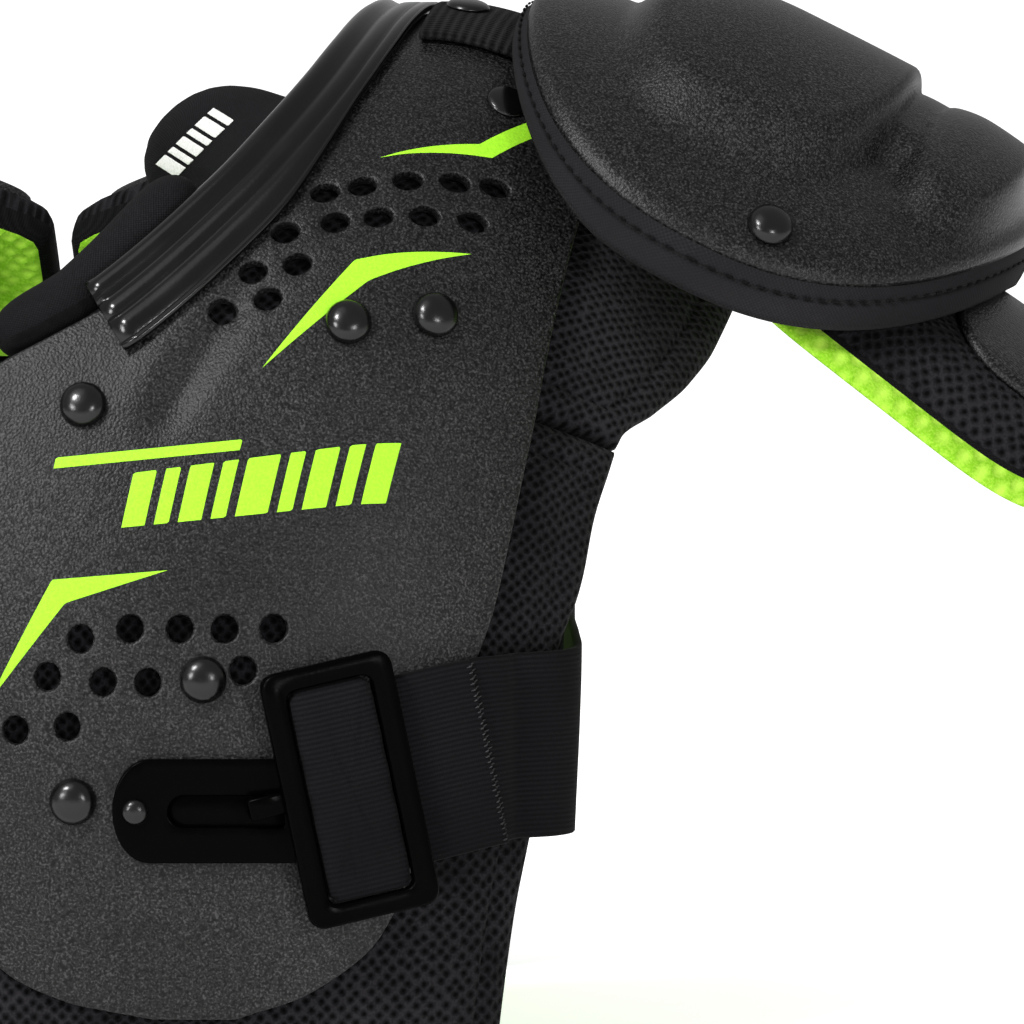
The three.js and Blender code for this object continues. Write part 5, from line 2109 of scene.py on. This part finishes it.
@dataclass
class Buckle:
    """Hook buckle: the leaning frame on the strap and the slotted plate that holds its tongue."""

    rib: float = 86.6
    width: float = 26.6
    height: float = 51.6
    bar: float = 4.6
    wall: float = 3.4
    lift: float = 7.6
    middle_z: float = 58.8
    lean: float = 12.0
    plate_z: float = 54.3
    plate_height: float = 20.6
    plate_from: float = 42.0
    plate_to: float = 80.0
    plate_wall: float = 2.4
    slot_height: float = 6.4
    slot_from: float = 53.0
    slot_to: float = 76.0
    arch_wall: float = 3.0
    seat_gap: float = 0.3
    rivet_rib: float = 46.5
    rivet_diameter: float = 5.2
    rivet_dome: float = 1.8
    corner: float = 3.0
    inner_corner: float = 2.0
    soft: float = 0.7

    def frame_shape(self) -> Shape:
        """Frame with soft edges and its tongue.

        Returns:
            The shape.
        """
        outer = resample(rounded_box(self.width, self.height, self.corner), 0.9)
        inner = rounded_box(self.width - 2 * self.bar, self.height - 2 * self.bar + 1, self.inner_corner)
        around = len(outer)
        girth = lengths_along(np.vstack([inner, inner[:1]]))[-1]
        ring_in = resample(inner, girth / around)[:around]
        facing = outer[0] * (np.abs(inner).max(0) / np.abs(outer).max(0))
        shift = int(np.argmin(np.linalg.norm(ring_in - facing, axis=1)))
        ring_in = np.roll(ring_in, -shift, axis=0)
        soft, share = self.soft, self.soft / self.bar
        lower = [(0, soft), (0.05, 0.25), (share, 0), (1 - share, 0), (0.95, 0.25), (1, soft)]
        section = lower + [(across, self.wall - up) for across, up in lower[::-1]]
        rings = np.array([[(*(ring_in[i] + (outer[i] - ring_in[i]) * s), z) for s, z in section]
                          for i in range(around)])
        points = rings.reshape(-1, 3)
        faces = [tuple(i % len(points) for i in face)
                 for face in grid_quads(around + 1, len(section), wrap=True)]
        frame = outward(Shape(points, faces, points[:, :2].copy()))
        tongue = self._block((-self.width / 2 - 2.5, 0.4, 1.0), (9.0, 4.4, 2.0))
        tip = self._block((-self.width / 2 - 5.4, 0.4, -0.7), (3.0, 4.4, 3.4))
        return frame.joined(tongue).joined(tip)

    def fill_shape(self) -> Shape:
        """Fold of the strap that fills the frame's opening and swells out of it.

        Returns:
            The closed shape.
        """
        wide, high = self.width - 2 * self.bar - 0.5, self.height - 2 * self.bar + 0.5
        rings = []
        for share, height in ((0.985, -1.4), (1.0, 0.6), (1.0, 2.2), (0.97, 3.0), (0.9, 3.6), (0.76, 4.1),
                              (0.55, 4.4), (0.3, 4.55), (0.08, 4.6)):
            tall = high * (1 - (1 - share) * wide / high)
            loop = resample(rounded_box(wide * share, tall, 2.2 * share), 1.2)
            angle = np.linspace(0, 2 * math.pi, 80, endpoint=False)
            along = np.stack([np.interp(angle, *self._by_angle(loop, k)) for k in range(2)], -1)
            bumps = 0.25 * np.sin(along[:, 1] * 0.75) * (height > 2)
            rings.append(np.column_stack([along, height + bumps]))
        rings = np.array(rings)
        return tube(rings, rings[..., :2].copy())

    @staticmethod
    def _by_angle(loop: Array, axis: int) -> tuple[Array, Array]:
        """A loop's coordinate by its angle from the middle.

        Args:
            loop: Points of the loop.
            axis: Number of the coordinate.

        Returns:
            The angles in rising order and the coordinate at each.
        """
        angle = np.arctan2(loop[:, 1], loop[:, 0]) % (2 * math.pi)
        order = np.argsort(angle)
        angle, value = angle[order], loop[order, axis]
        return np.r_[angle - 2 * math.pi, angle, angle + 2 * math.pi], np.r_[value, value, value]

    def _block(self, centre: tuple[float, float, float], size: tuple[float, float, float]) -> Shape:
        """Block with rounded long edges.

        Args:
            centre: Its middle.
            size: Its size along each axis.

        Returns:
            The closed shape.
        """
        section = rounded_box(size[1], size[2], 0.6, 3)
        xs = np.array([-size[0] / 2, -size[0] / 2 + 0.25, size[0] / 2 - 0.25, size[0] / 2])
        squeeze = np.array([0.85, 1.0, 1.0, 0.85])
        rings = np.array([[(centre[0] + x, centre[1] + a * k, centre[2] + b * k) for a, b in section]
                          for x, k in zip(xs, squeeze)])
        return tube(rings, rings[..., :2].copy())

    def plate_sheet(self) -> Shape:
        """Slotted plate with a round end.

        Returns:
            The closed shape.
        """
        middle = (self.plate_from + self.plate_to) / 2
        half = self.plate_height / 2
        start, end = self.plate_from - middle, self.plate_to - middle
        turns = np.linspace(math.pi / 2, 3 * math.pi / 2, 24)
        left = np.stack([start + 0.7 * half + 0.7 * half * np.cos(turns), half * np.sin(turns)], -1)
        outline = np.vstack([left, [(end, -half), (end, half)]])
        slot_half = self.slot_height / 2
        s0, s1 = self.slot_from - middle, self.slot_to - middle
        round_end = np.stack([s0 + slot_half + slot_half * np.cos(turns), slot_half * np.sin(turns)], -1)
        slot = resample(np.vstack([round_end, [(s1, -slot_half), (s1, slot_half)]]), 0.8)
        sheet = PressedSheet(outline, lambda a, b, h: np.stack([a, b, h], -1), self.plate_wall, 0.0, [slot],
                             lip=0.45, spacing=2.0, edge_step=0.8)
        floor = self._block(((s0 + s1) / 2, 0.0, 0.5), (s1 - s0 + 1.0, self.slot_height + 1.0, 0.7))
        return sheet.shape().joined(floor)

    def build(self, side: Side) -> list[Piece]:
        """Makes the frame, the plate and its small rivet on one side.

        Args:
            side: The half to build.

        Returns:
            The three pieces.
        """
        middle_turn = FORM.turn_at(self.middle_z)
        frame = self.frame_shape().placed(FORM.seat(self.rib, middle_turn, self.lift, self.lean))
        middle = (self.plate_from + self.plate_to) / 2
        seat = FORM.seat(middle, FORM.turn_at(self.plate_z), self.arch_wall + self.seat_gap)
        plate = self.plate_sheet().placed(seat)
        rivet = dome(self.rivet_diameter, self.rivet_dome).placed(
            seat @ Matrix.Translation((self.rivet_rib - middle, 0, self.plate_wall + 0.05)))
        made = []
        for name, shape, finish in (("buckle_frame", frame, GLOSS), ("hook_plate", plate, GLOSS),
                                    ("hook_plate_rivet", rivet, RIVET)):
            piece = shape.build(name, side, [finish])
            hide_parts(f"{name}_{side.label}")
            made.append(piece)
        place = FORM.seat(self.rib, middle_turn, self.lift - 0.4, self.lean)
        made.append(self.fill_shape().placed(place).build("strap_fold", side, [ELASTIC]))
        return made


@dataclass
class Rivets:
    """Domed rivets of an arch, and the flat discs of the shoulder webbing."""

    diameter: float = 9.4
    rise: float = 3.4
    plate_wall: float = 3.0
    strap_lift: float = 2.6
    disc: tuple[float, float] = (8.6, 1.4)
    washer: tuple[float, float] = (9.0, 1.6)
    disc_place: tuple[float, float] = (99.5, -24.4)
    washer_place: tuple[float, float] = (87.4, -6.1)
    webbing_top: float = 5.6
    heads: dict[str, tuple[float, float]] = field(default_factory=lambda: {
        "chest_rivet_1": (33.2, -60.6), "chest_rivet_2": (81.1, -53.2), "chest_rivet_3": (96.1, -51.7),
        "chest_rivet_4": (59.7, -82.3), "chest_rivet_5": (34.5, -91.6), "back_rivet": (89.0, 90.5)})

    def build(self, side: Side) -> list[Piece]:
        """Makes the rivets of one side.

        Args:
            side: The half to build.

        Returns:
            The rivets and discs.
        """
        made = []
        for name, (rib, turn) in self.heads.items():
            lift = self.plate_wall + 0.1 + (self.strap_lift if name == "back_rivet" else 0)
            shape = dome(self.diameter, self.rise).placed(FORM.seat(rib, turn, lift))
            made.append((name, shape))
        disc_seat = FORM.seat(*self.disc_place, self.plate_wall + 0.1)
        washer_seat = FORM.seat(*self.washer_place, self.webbing_top + 0.1)
        made.append(("shoulder_disc", dome(*self.disc).placed(disc_seat)))
        made.append(("webbing_washer", dome(*self.washer).placed(washer_seat)))
        pieces = []
        for name, shape in made:
            piece = shape.build(name, side, [RIVET])
            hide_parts(f"{name}_{side.label}")
            pieces.append(piece)
        return pieces


@dataclass
class Bridges:
    """Plates that join the two arches at the breastbone and the spine, with their rivets."""

    half_width: float = 15.0
    wall: float = 3.0
    low: float = 3.8
    corner: float = 5.0
    rivet_rib: float = 11.0
    rivet: tuple[float, float] = (6.0, 2.0)
    turns: dict[Facing, tuple[float, float]] = field(default_factory=lambda: {
        Facing.FRONT: (68.0, 90.0), Facing.BACK: (56.0, 90.0)})

    def build(self, facing: Facing) -> Piece:
        """Makes one bridge.

        Args:
            facing: Front or back.

        Returns:
            The bridge.
        """
        start, end = self.turns[facing]
        rate = FORM.leg_rate
        low, high = sorted((facing.value * start * rate, facing.value * end * rate))
        loop = rounded_box(2 * self.half_width, high - low, self.corner, 6) + [0.0, (low + high) / 2]
        sheet = PressedSheet(loop, lambda a, b, h: FORM.skin(a, b / rate, h), self.low + self.wall, self.low,
                             lip=0.8, spacing=2.6)
        shape = sheet.shape()
        for rib in (-self.rivet_rib, self.rivet_rib):
            for share in (0.2, 0.8):
                turn = facing.value * (start + (end - start) * share)
                head = dome(*self.rivet).placed(FORM.seat(rib, turn, self.low + self.wall))
                shape = shape.joined(head, 1)
        name = "sternum_bridge" if facing is Facing.FRONT else "spine_bridge"
        piece = shape.build(name, Side.LEFT, [GRAIN, RIVET])
        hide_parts(name)
        return piece


@dataclass(frozen=True)
class Lamp:
    """Soft square lamp that faces a place on the pad, with its sizes in metres and its power in watts."""

    name: str
    place: tuple[float, float, float]
    aim: tuple[float, float, float]
    size: float
    power: float
    glints_only: bool = False

    def build(self) -> None:
        """Adds the lamp to the scene."""
        data = bpy.data.lights.new(self.name, "AREA")
        data.energy, data.size = self.power, self.size
        made = linked(self.name, data)
        made.location = self.place
        made.rotation_euler = (Vector(self.place) - Vector(self.aim)).to_track_quat("Z", "Y").to_euler()
        made.visible_diffuse = not self.glints_only


@dataclass
class Studio:
    """Camera at the photograph's view, soft lights and a plain pale floor."""

    target: tuple[float, float, float] = (122.0, -100.0, 114.0)
    azimuth: float = 8.0
    elevation: float = 4.0
    distance: float = 1500.0
    scale: float = 5.1
    frame: float = 1024.0
    sensor: float = 36.0
    surround: float = 0.55
    overhead: float = 0.3
    overhead_from: tuple[float, float, float] = (-0.35, -0.55, 1.0)
    overhead_spread: float = 35.0
    floor_half: float = 80.0
    lamps: tuple[Lamp, ...] = (Lamp("right", (0.85, -1.3, 0.35), (0.15, 0, 0.16), 0.22, 6),
                               Lamp("left", (-0.5, -0.95, 1.05), (0.12, 0, 0.15), 0.25, 20),
                               Lamp("glint", (-0.75, -1.3, 0.5), (0.15, 0, 0.16), 0.35, 12, True))

    def camera(self) -> Piece:
        """Makes the camera.

        Returns:
            The camera object, set as the scene's camera.
        """
        a, e = math.radians(self.azimuth), math.radians(self.elevation)
        back = Vector((math.sin(a) * math.cos(e), -math.cos(a) * math.cos(e), math.sin(e)))
        lens = bpy.data.cameras.new("camera")
        lens.sensor_width = self.sensor
        lens.lens = self.sensor * self.distance * self.scale / self.frame
        lens.clip_start = 0.01
        made = linked("camera", lens)
        made.location = (Vector(self.target) + back * self.distance) * MM
        made.rotation_euler = back.to_track_quat("Z", "Y").to_euler()
        bpy.context.scene.camera = made
        return made

    def build(self) -> None:
        """Lights the scene and lays the floor."""
        world = bpy.data.worlds.new("studio")
        bpy.context.scene.world = world
        world.use_nodes = True
        world.node_tree.nodes["Background"].inputs[0].default_value = (1, 1, 1, 1)
        world.node_tree.nodes["Background"].inputs[1].default_value = self.surround
        bpy.context.scene.view_settings.view_transform = "Standard"
        sun = bpy.data.lights.new("overhead", "SUN")
        sun.energy, sun.angle = self.overhead, math.radians(self.overhead_spread)
        linked("overhead", sun).rotation_euler = Vector(self.overhead_from).to_track_quat("Z", "Y").to_euler()
        for lamp in self.lamps:
            lamp.build()
        size = self.floor_half
        mesh = bpy.data.meshes.new("floor")
        mesh.from_pydata([(-size, -size, 0), (size, -size, 0), (size, size, 0), (-size, size, 0)], [],
                         [(0, 1, 2, 3)])
        mesh.materials.append(FlatStage("floor").material())
        floor = linked("floor", mesh)


def main() -> None:
    """Builds every sub-assembly in order and reports each piece."""
    logging.basicConfig(level=logging.INFO, format="%(name)s: %(message)s")
    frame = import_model()
    LOG.info("frame of %d nodes", len(frame["nodes"]))
    studio = Studio()
    studio.camera()
    arch, foam, trim, rolls = ArchPlate(), FoamBody(), NeckTrim(), NeckRolls()
    webbing, epaulet, sleeve = ShoulderWebbing(), Epaulet(), SleevePad()
    strap, buckle, rivets, bridges = SideStrap(), Buckle(), Rivets(), Bridges()
    for side in Side:
        pieces = [arch.build(side), *arch.print_marks(side), *foam.build(side), trim.build(side),
                  *rolls.build(side), webbing.build(side), *epaulet.build(side), *sleeve.build(side),
                  *strap.build(side), *buckle.build(side), *rivets.build(side)]
        for piece in pieces:
            LOG.info("%s: %d faces", piece.name, len(piece.data.polygons))
    for facing in Facing:
        LOG.info("%s", bridges.build(facing).name)
    studio.build()


if __name__ == "__main__":
    main()
